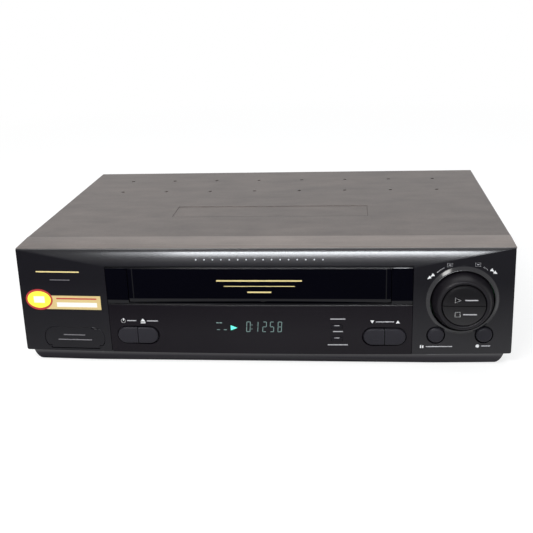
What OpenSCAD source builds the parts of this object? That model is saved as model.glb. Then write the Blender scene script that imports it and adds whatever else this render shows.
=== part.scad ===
// Front-loading video cassette recorder: steel cover, moulded bezel, cassette flap,
// jog-and-shuttle dial, cassette carriage and helical-scan tape deck.
// Millimetres. X to the right, Y to the back, Z up, feet on Z = 0.

/* [Cabinet] */
// Width over the front bezel
body_w = 380; // [372:1:400]
// Depth from the bezel's top edge to the back of the cover
cover_d = 250; // [248:1:280]
// Height of the bezel's top edge above the table
edge_z = 93; // [92:0.5:100]
// Height of the flat cover above the bezel's top edge
crown_h = 1; // [0.6:0.1:3]
// Distance from the bezel's top edge back to the bend in the cover
bend_y = 29; // [24:1:40]
// Thickness of the steel cover
sheet_t = 1; // [0.8:0.1:1.4]
// Width of the pressed panel in the top
press_w = 166; // [120:1:200]
// Depth of the pressed panel
press_d = 33; // [25:1:40]
// Front of the pressed panel behind the bezel's top edge
press_y = 85; // [70:1:95]
// Spacing of the cooling holes across the top
vent_pitch = 42.35; // [30:0.05:44]
// Rear row of cooling holes in from the back of the cover
vent_in = 34.8; // [20:0.2:40]
// Spacing of the two rows of cooling holes
vent_row = 42.8; // [30:0.2:50]
// How much narrower the cover is than the bezel, each side
cover_in = 0.5; // [0.3:0.1:2]
// Depth of the bezel's side and top walls
bezel_d = 14; // [12:0.5:20]
// Height of the bezel's bottom edge above the table
bezel_z = 8.5; // [8:0.5:12]
// Thickness of the bezel's front wall at its ends
bezel_t = 3; // [2:0.5:4]
// How far the middle of the front stands out beyond its ends
bulge = 4.5; // [2:0.5:6]
// Depth below the top edge over which the brow curves forward
brow_h = 36; // [24:1:40]
// Small assembly gap between fitted mouldings
gap = 0.2; // [0.1:0.05:0.3]

/* [Skirt, pan and feet] */
// Underside of the skirt above the table
skirt_z = 1.2; // [0.8:0.1:2.5]
// Set-in of the skirt's ends from the bezel's ends
skirt_in = 5; // [3:0.5:12]
// Slope of the skirt's ends over its height
skirt_rake = 5.5; // [2:0.5:10]
// Underside of the bottom pan, which is the height of the feet
foot_h = 6.5; // [5:0.5:7]
// Radius of a foot
foot_r = 10; // [7:0.5:14]
// Feet centres in from the sides
foot_x = 40; // [30:1:60]
// Front feet centres behind the bezel's top edge
foot_y = 40; // [32:1:60]
// Thickness of the bottom pan
pan_t = 1.2; // [1:0.1:1.6]
// Height of the pan's side walls
pan_wall = 15; // [10:1:30]

/* [Cassette door] */
// Middle of the cassette opening
slot_x = 2.3; // [0:0.1:4]
// Middle of the cassette flap
flap_x = -1.5; // [-3:0.1:4]
// Width of the cassette flap
flap_w = 200.8; // [198:0.2:212]
// Lower edge of the flap above the table
flap_z = 50.6; // [50:0.1:51]
// Height of the flap
flap_h = 27.8; // [27:0.1:28]
// Thickness of the flap
flap_t = 1.8; // [1.4:0.1:2.4]
// Front face of the flap ahead of the bezel's top edge
flap_y = 2.9; // [2.6:0.1:3.2]
// Radius of the flap's hinge pins
flap_pin_r = 1; // [0.8:0.1:1.2]
// Left edge of the glossy surround
win_x0 = -119.2; // [-122:0.2:-112]
// Right edge of the glossy surround
win_x1 = 114.9; // [113:0.2:118]
// Top of the glossy surround above the table
win_top = 79.1; // [79.1:0.1:80]
// Height of the trim strip under the surround
trim_h = 0.9; // [0.6:0.1:1]
// Lower edge of the surround above the table
win_z = 49.4; // [49:0.1:49.6]

/* [Buttons] */
// Travel of every push button
press = 1.2; // [0.6:0.1:1.4]
// How far the buttons stand out of the panel
proud = 1.1; // [1:0.1:2]
// Clearance round a button
btn_c = 0.25; // [0.2:0.05:0.4]
// Width of an oval button pair
oval_w = 32; // [28:0.5:34]
// Height of an oval button pair
oval_h = 13.4; // [11:0.2:15]
// Slit between the two buttons of a pair
split = 0.5; // [0.4:0.1:1]
// Middle of the power and eject pair
pair_x1 = -97; // [-99:0.5:-95]
// Middle of the channel pair
pair_x2 = 94.3; // [93:0.1:95]
// Height of the pairs above the table
pair_z = 23.4; // [22:0.2:25]
// Width of the small menu and set buttons
small_w = 8; // [6:0.5:10]
// Height of the small buttons
small_h = 3; // [2.4:0.2:4]
// Place of the small buttons across the front
small_x = 58; // [54:1:62]
// Height of the upper small button above the table
menu_z = 31.8; // [30:0.2:34]
// Height of the lower small button above the table
set_z = 21.6; // [19:0.2:24]
// Radius of the round pause and record buttons
round_r = 6.2; // [5:0.1:7]
// Place of the pause button across the front
pause_x = 132.8; // [131:0.2:136]
// Place of the record button across the front
rec_x = 168.9; // [166:0.2:171]
// Height of the round buttons above the table
round_z = 24.4; // [22:0.2:25]

/* [Dial] */
// Middle of the dial across the front
dial_x = 151.5; // [149:0.5:154]
// Height of the dial's middle above the table
dial_z = 52.6; // [51:0.2:55]
// Radius of the dial's opening in the bezel
dial_r = 24; // [22:0.5:26]
// Width of the slope on the rim round the opening
dial_chamfer = 2.2; // [1:0.1:3]
// Height of that rim above the bezel
rim_h = 2.2; // [1.4:0.1:2.8]
// Running clearance round the shuttle ring
ring_c = 0.8; // [0.5:0.1:1.2]
// How far the dial stands ahead of the bezel's top edge
dial_proud = 13.5; // [10:0.5:16]
// Height of the ring below the dial's cap
cap_step = 0.8; // [0.4:0.1:2]
// Outer radius of the ring at its front
ring_r2 = 18.6; // [18:0.1:20]
// Radius of the split play and stop cap
cap_r = 15.9; // [13:0.1:16.5]
// Turn of the shuttle ring each way, degrees
shuttle_turn = 65; // [40:5:90]

/* [Front jacks] */
// Left edge of the jack door
door_x = -173.5; // [-176:0.5:-170]
// Width of the jack door
door_w = 48.9; // [44:0.1:52]
// Lower edge of the jack door above the table
door_z = 11; // [10.6:0.1:12]
// Height of the jack door
door_h = 17.7; // [15:0.1:20]
// Radius of the jack door's corners
door_r = 8; // [5:0.5:8.8]
// Radius of a phono jack's shell
phono_r = 4.15; // [4:0.05:4.3]
// Radius of a phono jack's centre hole
phono_bore = 1.6; // [1.5:0.05:1.7]

/* [Display] */
// Width of the display tube
tube_w = 78; // [70:1:84]
// Height of the display tube
tube_h = 20; // [16:0.5:22]

/* [Rear] */
// Width of the collar round each connector in the panel
collar = 1; // [0.6:0.1:1.4]
// Thickness of the rear panel
panel_t = 1.5; // [1.2:0.1:2.5]
// Length of the phono jacks beyond the panel
phono_len = 9; // [7:0.5:9.5]
// Spacing of the phono jacks
phono_pitch = 14; // [12:0.5:16]
// Radius of an aerial connector's barrel
f_r = 4.7; // [4.5:0.05:5]
// Length of the aerial connectors beyond the panel
f_len = 10; // [9.6:0.2:14]
// Spacing of the aerial connectors
f_pitch = 22; // [18:1:24]

/* [Power supply] */
// Width and depth of the transformer
trafo_w = 44; // [36:1:46]
// Height of the transformer
trafo_h = 36; // [28:1:44]
// Height of the heat sink
sink_h = 34; // [24:1:44]

/* [Tape deck] */
// Top of the deck plate above the table
deck_z = 24; // [23.5:0.1:24.5]
// Thickness of the deck plate
deck_t = 1.5; // [1.2:0.1:2]
// Radius of the head drum
drum_r = 31; // [28:0.5:32]
// Drum axis behind the bezel's top edge
drum_y = 197; // [195:1:200]
// Lean of the drum, degrees
drum_tilt = 5; // [3:0.5:6]
// Height of each half of the drum
drum_h = 15; // [12:0.5:16]
// Reel axes each side of the middle
reel_x = 46; // [45:0.5:47]
// Reel axes behind the bezel's top edge
reel_y = 101; // [98:1:106]
// Radius of a reel table
reel_r = 17; // [14:0.5:19]
// Shaft and bore clearance of running fits
run_c = 0.05; // [0.02:0.01:0.1]
// Tooth size (module) of the gears
gear_m = 0.8; // [0.8:0.1:0.8]
// Teeth on the mode cam gear
cam_n = 48; // [48:2:48]
// Teeth on the loading motor's pinion
pin_n = 10; // [10:2:10]
// Thinning of each tooth for backlash
backlash = 0.12; // [0.08:0.01:0.2]

/* [Cassette carriage] */
// Width of the cassette that the holder takes
cass_w = 188; // [187:0.5:189]
// Depth of the cassette
cass_d = 104; // [103:0.5:105]
// Height of the cassette
cass_h = 25; // [25:0.1:25.4]
// Play round the cassette in its holder
cass_c = 1; // [0.6:0.1:1.2]
// Floor of the holder above the table, with the holder raised
hold_z = 51; // [50.8:0.1:51.4]
// Front of the holder behind the bezel's top edge
hold_y = 35; // [33:1:38]
// Sheet thickness of the holder and slider
hold_t = 1.2; // [1:0.1:1.4]
// Travel of the carriage into the machine
travel_in = 20; // [16:1:22]
// Travel of the holder down to the reels
travel_down = 22; // [20:0.5:22]
// Teeth on the carriage gear
cgear_n = 12; // [12:1:12]
// Tooth size (module) of the carriage gear
cgear_m = 1; // [1:0.1:1]

/* [Hidden] */
e = 0.01;
hw = body_w / 2;
cw = hw - cover_in;
top_z = edge_z + crown_h;
back_y = cover_d - sheet_t - gap / 4;        // outer face of the rear panel
panel_y = back_y - panel_t;                  // inner face of the rear panel
floor_z = foot_h + pan_t;                    // top of the pan's floor
y_off = (dial_proud - (back_y + f_len)) / 2; // puts the middle of the depth on Y = 0
face_y = -0.5;                               // flat back of the fascia and surround
pan_x = cw - sheet_t - gap / 2;              // outer half width of the pan
in_x = cass_w / 2 + cass_c;            // inside half width of the holder
out_x = in_x + hold_t;
rail_x = out_x + 0.6;                  // inside half width of the slider's rails
rail_o = rail_x + hold_t;
brk_x = rail_o + 0.4;                  // inside half width of the brackets
brk_o = brk_x + 1.5;
deck_hw = brk_o + 4.1;                 // half width of the deck plate
deck_y0 = hold_y + 5;                  // front and rear edges of the deck plate
deck_y1 = drum_y + drum_r + 12;
bay_y = panel_y - 7.45;                // rear limit of the parts on the two boards

function bow(x) = bulge * (1 - pow(x / hw, 2));
function brow(d) = bulge * (1 - pow(1 - min(d, brow_h) / brow_h, 2));
function face(x, z) = -min(bow(x), brow(edge_z - z));
function lean(x) = atan(2 * bulge * x / (hw * hw));   // how far the front's plan has turned there

module at_y() { translate([0, y_off, 0]) children(); }
module box(x0, x1, y0, y1, z0, z1) { translate([x0, y0, z0]) cube([x1 - x0, y1 - y0, z1 - z0]); }
// cylinder along +Y from y0 to y1
module ycyl(x, z, r, y0, y1, n = 64) {
  translate([x, y0, z]) rotate([-90, 0, 0]) cylinder(r = r, h = y1 - y0, $fn = n);
}
module zcyl(x, y, r, z0, z1, n = 64) { translate([x, y, z0]) cylinder(r = r, h = z1 - z0, $fn = n); }
module xcyl(y, z, r, x0, x1, n = 48) {
  translate([x0, y, z]) rotate([0, 90, 0]) cylinder(r = r, h = x1 - x0, $fn = n);
}
// oval outline in X and Z, as a bar along Y
module oval(x, z, w, h, y0, y1) {
  r = h / 2;
  union() {
    ycyl(x - w / 2 + r, z, r, y0, y1);
    ycyl(x + w / 2 - r, z, r, y0, y1);
    box(x - w / 2 + r, x + w / 2 - r, y0, y1, z - r, z + r);
  }
}
// outline in X and Z with round corners, as a bar along Y
module rounded(x0, x1, y0, y1, z0, z1, r) {
  translate([0, y1, 0]) rotate([90, 0, 0]) linear_extrude(y1 - y0) hull()
    for (x = [x0 + r, x1 - r], z = [z0 + r, z1 - r]) translate([x, z]) circle(r = r, $fn = 64);
}
// everything behind the bowed and browed front surface, between x0 and x1
module front_form(x0, x1, z0, z1, yb, n = 24, set = 0) {
  intersection() {
    translate([0, 0, z0]) linear_extrude(z1 - z0)
      polygon(concat([[x0, yb], [x1, yb]],
        [for (i = [n:-1:0]) let (x = x0 + (x1 - x0) * i / n) [x, -bow(x) + set]]));
    translate([x0, 0, 0]) rotate([90, 0, 90]) linear_extrude(x1 - x0)
      polygon(concat([[yb, z0], [yb, z1]],
        [for (i = [0:12]) let (z = z1 - (z1 - z0) * i / 12) [-brow(edge_z - z) + set - e / 10, z]]));
  }
}

// ---- cabinet ----
module top_cover() {
  color([0.45, 0.43, 0.42]) at_y() difference() {
    union() {
      translate([-cw, 0, 0]) rotate([90, 0, 90]) linear_extrude(2 * cw)
        polygon([[1.8, edge_z + 0.05], [bend_y, top_z], [cover_d, top_z], [cover_d, top_z - sheet_t],
          [bend_y, top_z - sheet_t], [1.8, edge_z + 0.05 - sheet_t]]);
      for (s = [-1, 1])
        box(s > 0 ? cw - sheet_t : -cw, s > 0 ? cw : -cw + sheet_t, bezel_d + gap, cover_d,
          bezel_z, top_z - sheet_t / 2);
      box(-cw, cw, cover_d - sheet_t, cover_d, edge_z - 11, top_z - sheet_t / 2);
    }
    // pressed panel in the middle of the top
    box(-press_w / 2, press_w / 2, press_y, press_y + press_d, top_z - sheet_t / 2, top_z + 1);
    // cooling holes, two rows of eight
    for (i = [-3.5:3.5], y = [vent_in, vent_in + vent_row]) zcyl(i * vent_pitch, cover_d - y, 1.7, top_z - 3, top_z + 1, 24);
    // cooling slots in both sides
    for (i = [0:7]) box(-cw - 1, cw + 1, cover_d - 100 + i * 9, cover_d - 97 + i * 9,
      edge_z - 45, edge_z - 17);
    // screw holes in the rear flange
    for (x = [-1, 0, 1] * (cw - 25)) ycyl(x, edge_z - 6, 1.7, cover_d - 2 * sheet_t, cover_d + 1, 24);
  }
}
module cover_screws() {
  color([0.2, 0.2, 0.2]) at_y() for (x = [-1, 0, 1] * (cw - 25)) difference() {
    union() {
      ycyl(x, edge_z - 6, 3.2, cover_d, cover_d + 2, 32);
      ycyl(x, edge_z - 6, 1.45, panel_y - 2, cover_d + 1, 24);
    }
    for (a = [0, 90]) translate([x, cover_d + 2, edge_z - 6]) rotate([0, a, 0])
      cube([3.6, 2, 0.8], center = true);
  }
}
module front_bezel() {
  color([0.13, 0.13, 0.15]) at_y() difference() {
    union() {
      front_form(-hw, hw, bezel_z, edge_z, bezel_t, 36);
      // raised rim round the dial's opening, square to the bow
      translate([dial_x, -bow(dial_x), dial_z]) rotate([90, 0, lean(dial_x)]) rotate_extrude($fn = 96)
        polygon([[dial_r - 2, -0.6], [dial_r + dial_chamfer + 1.1, -0.6], [dial_r + dial_chamfer + 1.1, 0],
          [dial_r + 0.9, rim_h - 0.2], [dial_r + 0.4, rim_h], [dial_r - 2, rim_h]]);
      difference() {
        box(-hw, hw, bezel_t - e, bezel_d, bezel_z, edge_z);
        box(-hw + 2.4, hw - 2.4, bezel_t - 1, bezel_d + 1, bezel_z + 2, edge_z - sheet_t - 2.2);
      }
    }
    // shelf that carries the front strip of the cover
    box(-cw - e, cw + e, 1.8 - gap, bezel_d + 1, edge_z - sheet_t - 0.05, edge_z + 1);
    // opening for surround, trim and fascia
    box(win_x0 - gap / 2, win_x1 + gap / 2, -bulge - 2, bezel_t + 1, bezel_z + 2, win_top + gap / 2);
    box(win_x0 - gap / 2, win_x1 + gap / 2, -bulge - 2, face_y, bezel_z - 1, win_top + gap / 2);
    // the dial's opening
    ycyl(dial_x, dial_z, dial_r, -bulge - 4, bezel_t + 1, 96);
    // round buttons
    for (x = [pause_x, rec_x]) ycyl(x, round_z, round_r + btn_c, -bulge - 2, bezel_t + 1);
    // front jack bay: a round-cornered mouth, square behind, and the hinge holes of its door
    difference() {
      rounded(door_x - gap, door_x + door_w + gap, -bulge - 2, bezel_t + 1, door_z - 0.5,
        door_z + door_h + gap, door_r + gap);
      // hinge lugs at its lower corners
      for (x = [door_x - 1, door_x + door_w - lug_w])
        box(x, x + lug_w + 1, -bulge - 3, mouth_t, door_z - 1, door_z - 0.5 + lug_h);
    }
    box(door_x - gap, door_x + door_w + gap, mouth_t, bezel_t + 1, door_z - 0.5, door_z + door_h + gap);
    door_set() xcyl(0.9, door_z + 1.2, door_pin_r + run_c, -door_w / 2 - 2.2, door_w / 2 + 2.2);
  }
}
module front_skirt() {
  x1 = hw - skirt_in; x0 = hw - skirt_in - skirt_rake;
  n = 24;
  color([0.2, 0.2, 0.21]) at_y() difference() {
    intersection() {
      // plan follows the bow of the front, a little behind it
      translate([0, 0, skirt_z]) linear_extrude(bezel_z - skirt_z)
        polygon(concat([[-hw, bezel_d], [hw, bezel_d]],
          [for (i = [n:-1:0]) let (x = -hw + 2 * hw * i / n) [x, -bow(x) + 0.8]]));
      // raked ends
      translate([0, bezel_d + 1, 0]) rotate([90, 0, 0]) linear_extrude(bezel_d + bulge + 2)
        polygon([[-x0, skirt_z], [x0, skirt_z], [x1, bezel_z], [-x1, bezel_z]]);
      // raked front
      translate([-hw, 0, 0]) rotate([90, 0, 90]) linear_extrude(2 * hw)
        polygon([[bezel_d, skirt_z], [bezel_d, bezel_z], [-bulge, bezel_z], [-bulge + 0.2, bezel_z - 1],
          [-bulge + 3, skirt_z]]);
    }
    box(-x0 + 2, x0 - 2, 3, bezel_d + 1, skirt_z - 1, bezel_z - 2);
  }
}
module door_surround() {
  fx0 = flap_x - flap_w / 2; fx1 = flap_x + flap_w / 2; fz = flap_z + flap_h;
  ax = flap_axis();
  color([0.04, 0.04, 0.05]) at_y() difference() {
    union() {
      front_form(win_x0, win_x1, win_z, win_top, face_y, 24);
      // frame behind the face that holds the hinge
      difference() {
        union() {
          box(win_x0 + 4, win_x1 - 1, face_y - e, 8, win_z, win_top);
          box(win_x0 + 4, win_x1 - 1, bezel_t + gap, 8, win_z, win_top + 1.6);
        }
        box(fx0 - 0.3, fx1 + 0.3, -1, 9, flap_z - 0.3, fz + 0.25);
      }
    }
    box(fx0 - 0.3, fx1 + 0.3, -bulge - 2, 9, flap_z - 0.3, fz + 0.25);
    // hinge holes
    xcyl(ax[0], ax[1], flap_pin_r + run_c, fx0 - 3, fx1 + 3);
  }
}
function flap_axis() = [-flap_y + flap_t / 2, flap_z + flap_h - 1];
module cassette_flap() {
  fx0 = flap_x - flap_w / 2; fx1 = flap_x + flap_w / 2; fz = flap_z + flap_h;
  ax = flap_axis();
  color([0.03, 0.03, 0.04]) at_y() difference() {
    union() {
      box(fx0, fx1, -flap_y, -flap_y + flap_t, flap_z, fz);
      xcyl(ax[0], ax[1], flap_pin_r, fx0 - 2.4, fx1 + 2.4);
      // stiffening ribs on the back
      for (x = [fx0 + 1, flap_x - 0.6, fx1 - 2.2]) box(x, x + 1.2, -flap_y + flap_t - e, -flap_y + flap_t + 1.2,
        flap_z + 4, flap_z + 14);
    }
    // back of the top edge, which turns past the surround
    translate([fx0 - 1, 0, 0]) rotate([90, 0, 90]) linear_extrude(flap_w + 2)
      polygon([[-flap_y + flap_t + e, fz - 0.7], [-flap_y + flap_t + e, fz + e], [-flap_y + flap_t - 0.7, fz + e]]);
    // bevel along the lower edge
    translate([fx0 - 1, 0, 0]) rotate([90, 0, 90]) linear_extrude(flap_w + 2)
      polygon([[-flap_y - 1, flap_z - 1], [-flap_y + 0.9, flap_z - 1], [-flap_y + 0.9, flap_z],
        [-flap_y, flap_z + 3.4], [-flap_y - 1, flap_z + 3.4]]);
  }
}
module trim_strip() {
  color([0.4, 0.4, 0.42]) at_y()
    front_form(win_x0, win_x1, win_z - trim_h, win_z, face_y, 24);
}
module pair_holes(x) { oval(x, pair_z, oval_w + 2 * btn_c, oval_h + 2 * btn_c, -bulge - 3, 3); }
module lower_fascia() {
  color([0.1, 0.1, 0.11]) at_y() difference() {
    front_form(win_x0, win_x1, bezel_z, win_z - trim_h, face_y, 24);
    pair_holes(pair_x1);
    pair_holes(pair_x2);
    for (z = [menu_z, set_z]) box(small_x - small_w / 2 - btn_c, small_x + small_w / 2 + btn_c,
      -bulge - 3, 3, z - small_h / 2 - btn_c, z + small_h / 2 + btn_c);
  }
}
module bottom_pan() {
  color([0.5, 0.5, 0.5]) at_y() difference() {
    union() {
      box(-pan_x, pan_x, bezel_d + gap, panel_y, foot_h, floor_z);
      for (s = [-1, 1]) box(s > 0 ? pan_x - pan_t : -pan_x, s > 0 ? pan_x : -pan_x + pan_t,
        bezel_d + gap, panel_y, foot_h, floor_z + pan_wall);
      // tongue under the bezel
      box(-pan_x + 20, pan_x - 20, bezel_d - 2, bezel_d + 1, bezel_z + 2 + e, floor_z + 4);
      box(-pan_x + 20, pan_x - 20, bezel_d + gap, bezel_d + 2, foot_h, floor_z + 4);
      // deck posts
      for (p = deck_posts()) zcyl(p[0], p[1], 4, floor_z - e, deck_z - deck_t, 32);
      // posts of the main board and the power board
      for (p = concat(main_posts(), power_posts())) zcyl(p[0], p[1], 2.5, floor_z - e, board_z, 24);
    }
    // cooling slots under the power supply
    for (i = [0:4]) box(gland_x - 15, gland_x + 25, bay_y - 94 + i * 9, bay_y - 91 + i * 9, foot_h - 1, floor_z + 1);
    for (p = deck_posts()) zcyl(p[0], p[1], 1.3, floor_z + 2, deck_z + 1, 24);
  }
}
board_z = floor_z + 4.3;                     // underside of the two lower boards
function main_posts() = [for (x = [slot_x + deck_hw + 8, pan_x - 9], y = [deck_y0, bay_y - 8]) [x, y]];
function power_posts() = [for (x = [slot_x - deck_hw - 8, -pan_x + 9], y = [bay_y - 124, bay_y - 8]) [x, y]];
function deck_posts() = [for (x = [slot_x - deck_hw + 10, slot_x + deck_hw - 10], y = [deck_y0 + 8, deck_y1 - 12])
  [x, y]];
module rear_panel() {
  color([0.25, 0.25, 0.26]) at_y() difference() {
    box(-pan_x, pan_x, panel_y, back_y, foot_h, edge_z - 0.6);
    for (i = [0:5]) ycyl(phono_x(i), phono_z(i), phono_r + collar + 0.3,
      panel_y - 1, back_y + 1, 48);
    for (i = [0, 1]) ycyl(f_x(), f_z(i), f_r + collar + 0.3, panel_y - 1, back_y + 1, 48);
    box(switch_x - 5, switch_x + 5, panel_y - 1, back_y + 1, switch_z - 2.2, switch_z + 2.2);
    ycyl(gland_x, gland_z, 4.2, panel_y - 1, back_y + 1, 48);
    for (x = [-1, 0, 1] * (cw - 25)) ycyl(x, edge_z - 6, 1.7, panel_y - 1, back_y + 1, 24);
    for (i = [0:8]) box(-40 + i * 7, -37 + i * 7, panel_y - 1, back_y + 1,
      edge_z - 37, edge_z - 13);
  }
}
jack_up = 18;                                // lowest connectors above the boards
function phono_x(i) = pan_x - 70.4 + floor(i / 2) * phono_pitch;
function phono_z(i) = board_z + jack_up + (i % 2) * phono_pitch;
function f_x() = pan_x - 18.4;
function f_z(i) = board_z + jack_up + i * f_pitch;
switch_x = f_x(); switch_z = f_z(1) + 20;
gland_x = -pan_x + 38.4; gland_z = board_z + jack_up;
module rubber_feet() {
  color([0.1, 0.1, 0.1]) at_y() for (x = [-1, 1] * (hw - foot_x), y = [foot_y, cover_d - foot_y]) difference() {
    zcyl(x, y, foot_r, 0, foot_h);
    zcyl(x, y, foot_r - 4, -1, 1.5);
  }
}
// ---- buttons ----
// half of an oval pair; side -1 is the left one
module pair_half(x, side) {
  y1 = -bow(x) - proud;
  color([0.12, 0.12, 0.13]) at_y() union() {
    intersection() {
      oval(x, pair_z, oval_w, oval_h, y1, face_y + 1.4);
      box(side < 0 ? x - oval_w : x + split / 2, side < 0 ? x - split / 2 : x + oval_w,
        y1 - 1, face_y + 2, pair_z - oval_h, pair_z + oval_h);
    }
    // flange behind the fascia
    box(side < 0 ? x - oval_w / 2 - 1 : x + split / 2, side < 0 ? x - split / 2 : x + oval_w / 2 + 1,
      face_y + 0.05, face_y + 1.4, pair_z - oval_h / 2 - 1, pair_z + oval_h / 2 + 1);
    ycyl(x + side * oval_w / 4, pair_z, 1.6, face_y + 1, stem_y, 24);
  }
}
board_y = bezel_t + 6.5;       // front of the front board
switch_h = 3.6;                // height of a tact switch body
stem_y = board_y - switch_h - 0.8 - press;   // end of a button's stem
module power_button() { pair_half(pair_x1, -1); }
module eject_button() { pair_half(pair_x1, 1); }
module channel_down_button() { pair_half(pair_x2, -1); }
module channel_up_button() { pair_half(pair_x2, 1); }
module small_button(z) {
  color([0.12, 0.12, 0.13]) at_y() union() {
    box(small_x - small_w / 2, small_x + small_w / 2, -bow(small_x) - 0.6, face_y + 1.4,
      z - small_h / 2, z + small_h / 2);
    box(small_x - small_w / 2 - 1, small_x + small_w / 2 + 1, face_y + 0.05, face_y + 1.4,
      z - small_h / 2 - 1, z + small_h / 2 + 1);
    ycyl(small_x, z, 1.4, face_y + 1, stem_y, 24);
  }
}
module menu_button() { small_button(menu_z); }
module set_button() { small_button(set_z); }
module round_button(x) {
  color([0.12, 0.12, 0.13]) at_y() union() {
    ycyl(x, round_z, round_r, -bow(x) - proud, stem_y);
    ycyl(x, round_z, round_r + 1, bezel_t + 0.05, stem_y);
  }
}
module pause_button() { round_button(pause_x); }
module record_button() { round_button(rec_x); }
// ---- dial ----
tube_r = cap_r + 0.4;          // bore of the ring, outside of the fixed guide tube is inside it
module shuttle_ring() {
  r1 = dial_r - ring_c;
  color([0.14, 0.14, 0.15]) at_y() translate([dial_x, 0, dial_z]) rotate([90, 0, 0])
    rotate_extrude($fn = 96)
      polygon([[tube_r, -4.6], [r1, -4.6], [r1, 2.2], [r1 - 0.7, 5], [r1 - 2.2, 8.4],
        [ring_r2 + 0.7, dial_proud - cap_step - 1], [ring_r2 - 0.4, dial_proud - cap_step],
        [tube_r + 0.5, dial_proud - cap_step], [tube_r, dial_proud - cap_step - 0.6]]);
}
module cap_half(s) {
  color([0.12, 0.12, 0.13]) at_y() union() {
    intersection() {
      ycyl(dial_x, dial_z, cap_r, -dial_proud, stem_y, 96);
      box(dial_x - 30, dial_x + 30, -dial_proud - 1, 5,
        s > 0 ? dial_z + split / 2 : dial_z - 30, s > 0 ? dial_z + 30 : dial_z - split / 2);
    }
  }
}
module play_button() { cap_half(1); }
module stop_button() { cap_half(-1); }
// ---- front jacks ----
door_pin_r = 0.6;
mouth_t = 0.5;                 // back of the jack bay's round corners
lug_w = 4.6;                   // hinge lugs: width, height, and clearance above for the door's swing
lug_h = 2.7;
lug_c = 0.6;
function door_y() = -bow(door_x + door_w / 2) + 0.2;   // front face of the jack door
// the door lies along the bow, so it is drawn about its own middle
module door_set() {
  translate([door_x + door_w / 2, door_y(), 0]) rotate([0, 0, lean(door_x + door_w / 2)]) children();
}
module jack_door() {
  color([0.13, 0.13, 0.15]) at_y() door_set() difference() {
    union() {
      difference() {
        rounded(-door_w / 2, door_w / 2, 0, 1.8, door_z, door_z + door_h, door_r);
        for (x = [-door_w / 2 - 1, door_w / 2 - lug_w - gap])
          box(x, x + lug_w + 1 + gap, -1, 3, door_z - 1, door_z - 0.5 + lug_h + lug_c);
      }
      xcyl(0.9, door_z + 1.2, door_pin_r, -door_w / 2 - 1.6, door_w / 2 + 1.6);
    }
    // finger notch at the upper right
    translate([door_w / 2 - 7, -1, door_z + door_h + 3]) rotate([-90, 0, 0])
      cylinder(r = 5, h = 2, $fn = 32);
  }
}
module front_jacks() {
  color([0.1, 0.1, 0.1]) at_y() union() {
    box(door_x - 4, door_x + door_w + 4, 8, 9.6, bezel_z + 2.05, door_z + door_h + 4);
    for (i = [0:2]) difference() {
      ycyl(door_x + door_w / 2 + (i - 1) * 15, door_z + door_h / 2 - 0.5, phono_r, 5.9, 9, 48);
      ycyl(door_x + door_w / 2 + (i - 1) * 15, door_z + door_h / 2 - 0.5, phono_bore, 5, 7.8, 32);
    }
    // feet to the back of the bezel's wall
    for (x = [door_x - 4, door_x + door_w + 1.5]) box(x, x + 2.5, bezel_t, 8.5, door_z, door_z + door_h + 3);
  }
}
module front_board() {
  color([0.1, 0.35, 0.15]) at_y() union() {
    box(win_x0 + 3.2, win_x1 + 3.1, board_y, board_y + 1.6, bezel_z + 2.05, flap_z - 4.6);
    // riser behind the dial
    box(win_x1 + 3.1 - e, hw - 6, board_y, board_y + 1.6, bezel_z + 2.05, dial_z + 27.4);
    // shaft tube that carries the shuttle ring's rotor
    difference() {
      ycyl(dial_x, dial_z, dial_r - 2, 4.9, board_y + e, 64);
      ycyl(dial_x, dial_z, cap_r + 0.3, 4, board_y + 2, 64);
      }
    box(dial_x - 20, dial_x + 20, board_y, board_y + 1.6, dial_z - 20, dial_z + 20);
  }
}
module display_tube() {
  color([0.2, 0.3, 0.3]) at_y() union() {
    x = slot_x - 1.3; z = bezel_z + 11.5;
    box(x - tube_w / 2, x + tube_w / 2, 1, 6, z, z + tube_h);
    for (i = [0:17]) let (p = x - tube_w / 2 + 2 + i * (tube_w - 4.9) / 17)
      box(p, p + 0.6, 3, board_y, z - 1, z + e);
  }
}
function switch_places() = concat(
  [for (s = [-1, 1]) [pair_x1 + s * oval_w / 4, pair_z]],
  [for (s = [-1, 1]) [pair_x2 + s * oval_w / 4, pair_z]],
  [[small_x, menu_z], [small_x, set_z], [pause_x, round_z], [rec_x, round_z],
   [dial_x, dial_z + cap_r / 2], [dial_x, dial_z - cap_r / 2]]);
module tact_switches() {
  color([0.15, 0.15, 0.16]) at_y() for (p = switch_places()) union() {
    box(p[0] - 3, p[0] + 3, board_y - switch_h, board_y, p[1] - 3, p[1] + 3);
    ycyl(p[0], p[1], 1.7, board_y - switch_h - 0.7, board_y - switch_h + e, 24);
  }
}
// ---- rear ----
module rear_jacks() {
  color([0.8, 0.7, 0.3]) at_y() union() {
    for (i = [0:5]) difference() {
      union() {
        ycyl(phono_x(i), phono_z(i), phono_r + collar, panel_y - 4, back_y, 48);
        ycyl(phono_x(i), phono_z(i), phono_r, panel_y - 4, back_y + phono_len, 48);
      }
      ycyl(phono_x(i), phono_z(i), phono_bore, back_y + phono_len - 8, back_y + phono_len + 1, 32);
    }
    box(phono_x(0) - 8, phono_x(4) + 8, panel_y - 12, panel_y, board_z + 1.6, phono_z(1) + 8);
  }
}
module tuner_module() {
  color([0.75, 0.76, 0.78]) at_y() union() {
    box(f_x() - 14, f_x() + 14, panel_y - 70, panel_y, board_z + 1.6, f_z(1) + 12);
    for (i = [0, 1]) difference() {
      union() {
        ycyl(f_x(), f_z(i), f_r + collar, panel_y - 1, back_y, 48);
        ycyl(f_x(), f_z(i), f_r, panel_y - 1, back_y + f_len, 48);
      }
      ycyl(f_x(), f_z(i), 0.6, back_y + f_len - 8, back_y + f_len + 1, 24);
    }
  }
}
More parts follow.
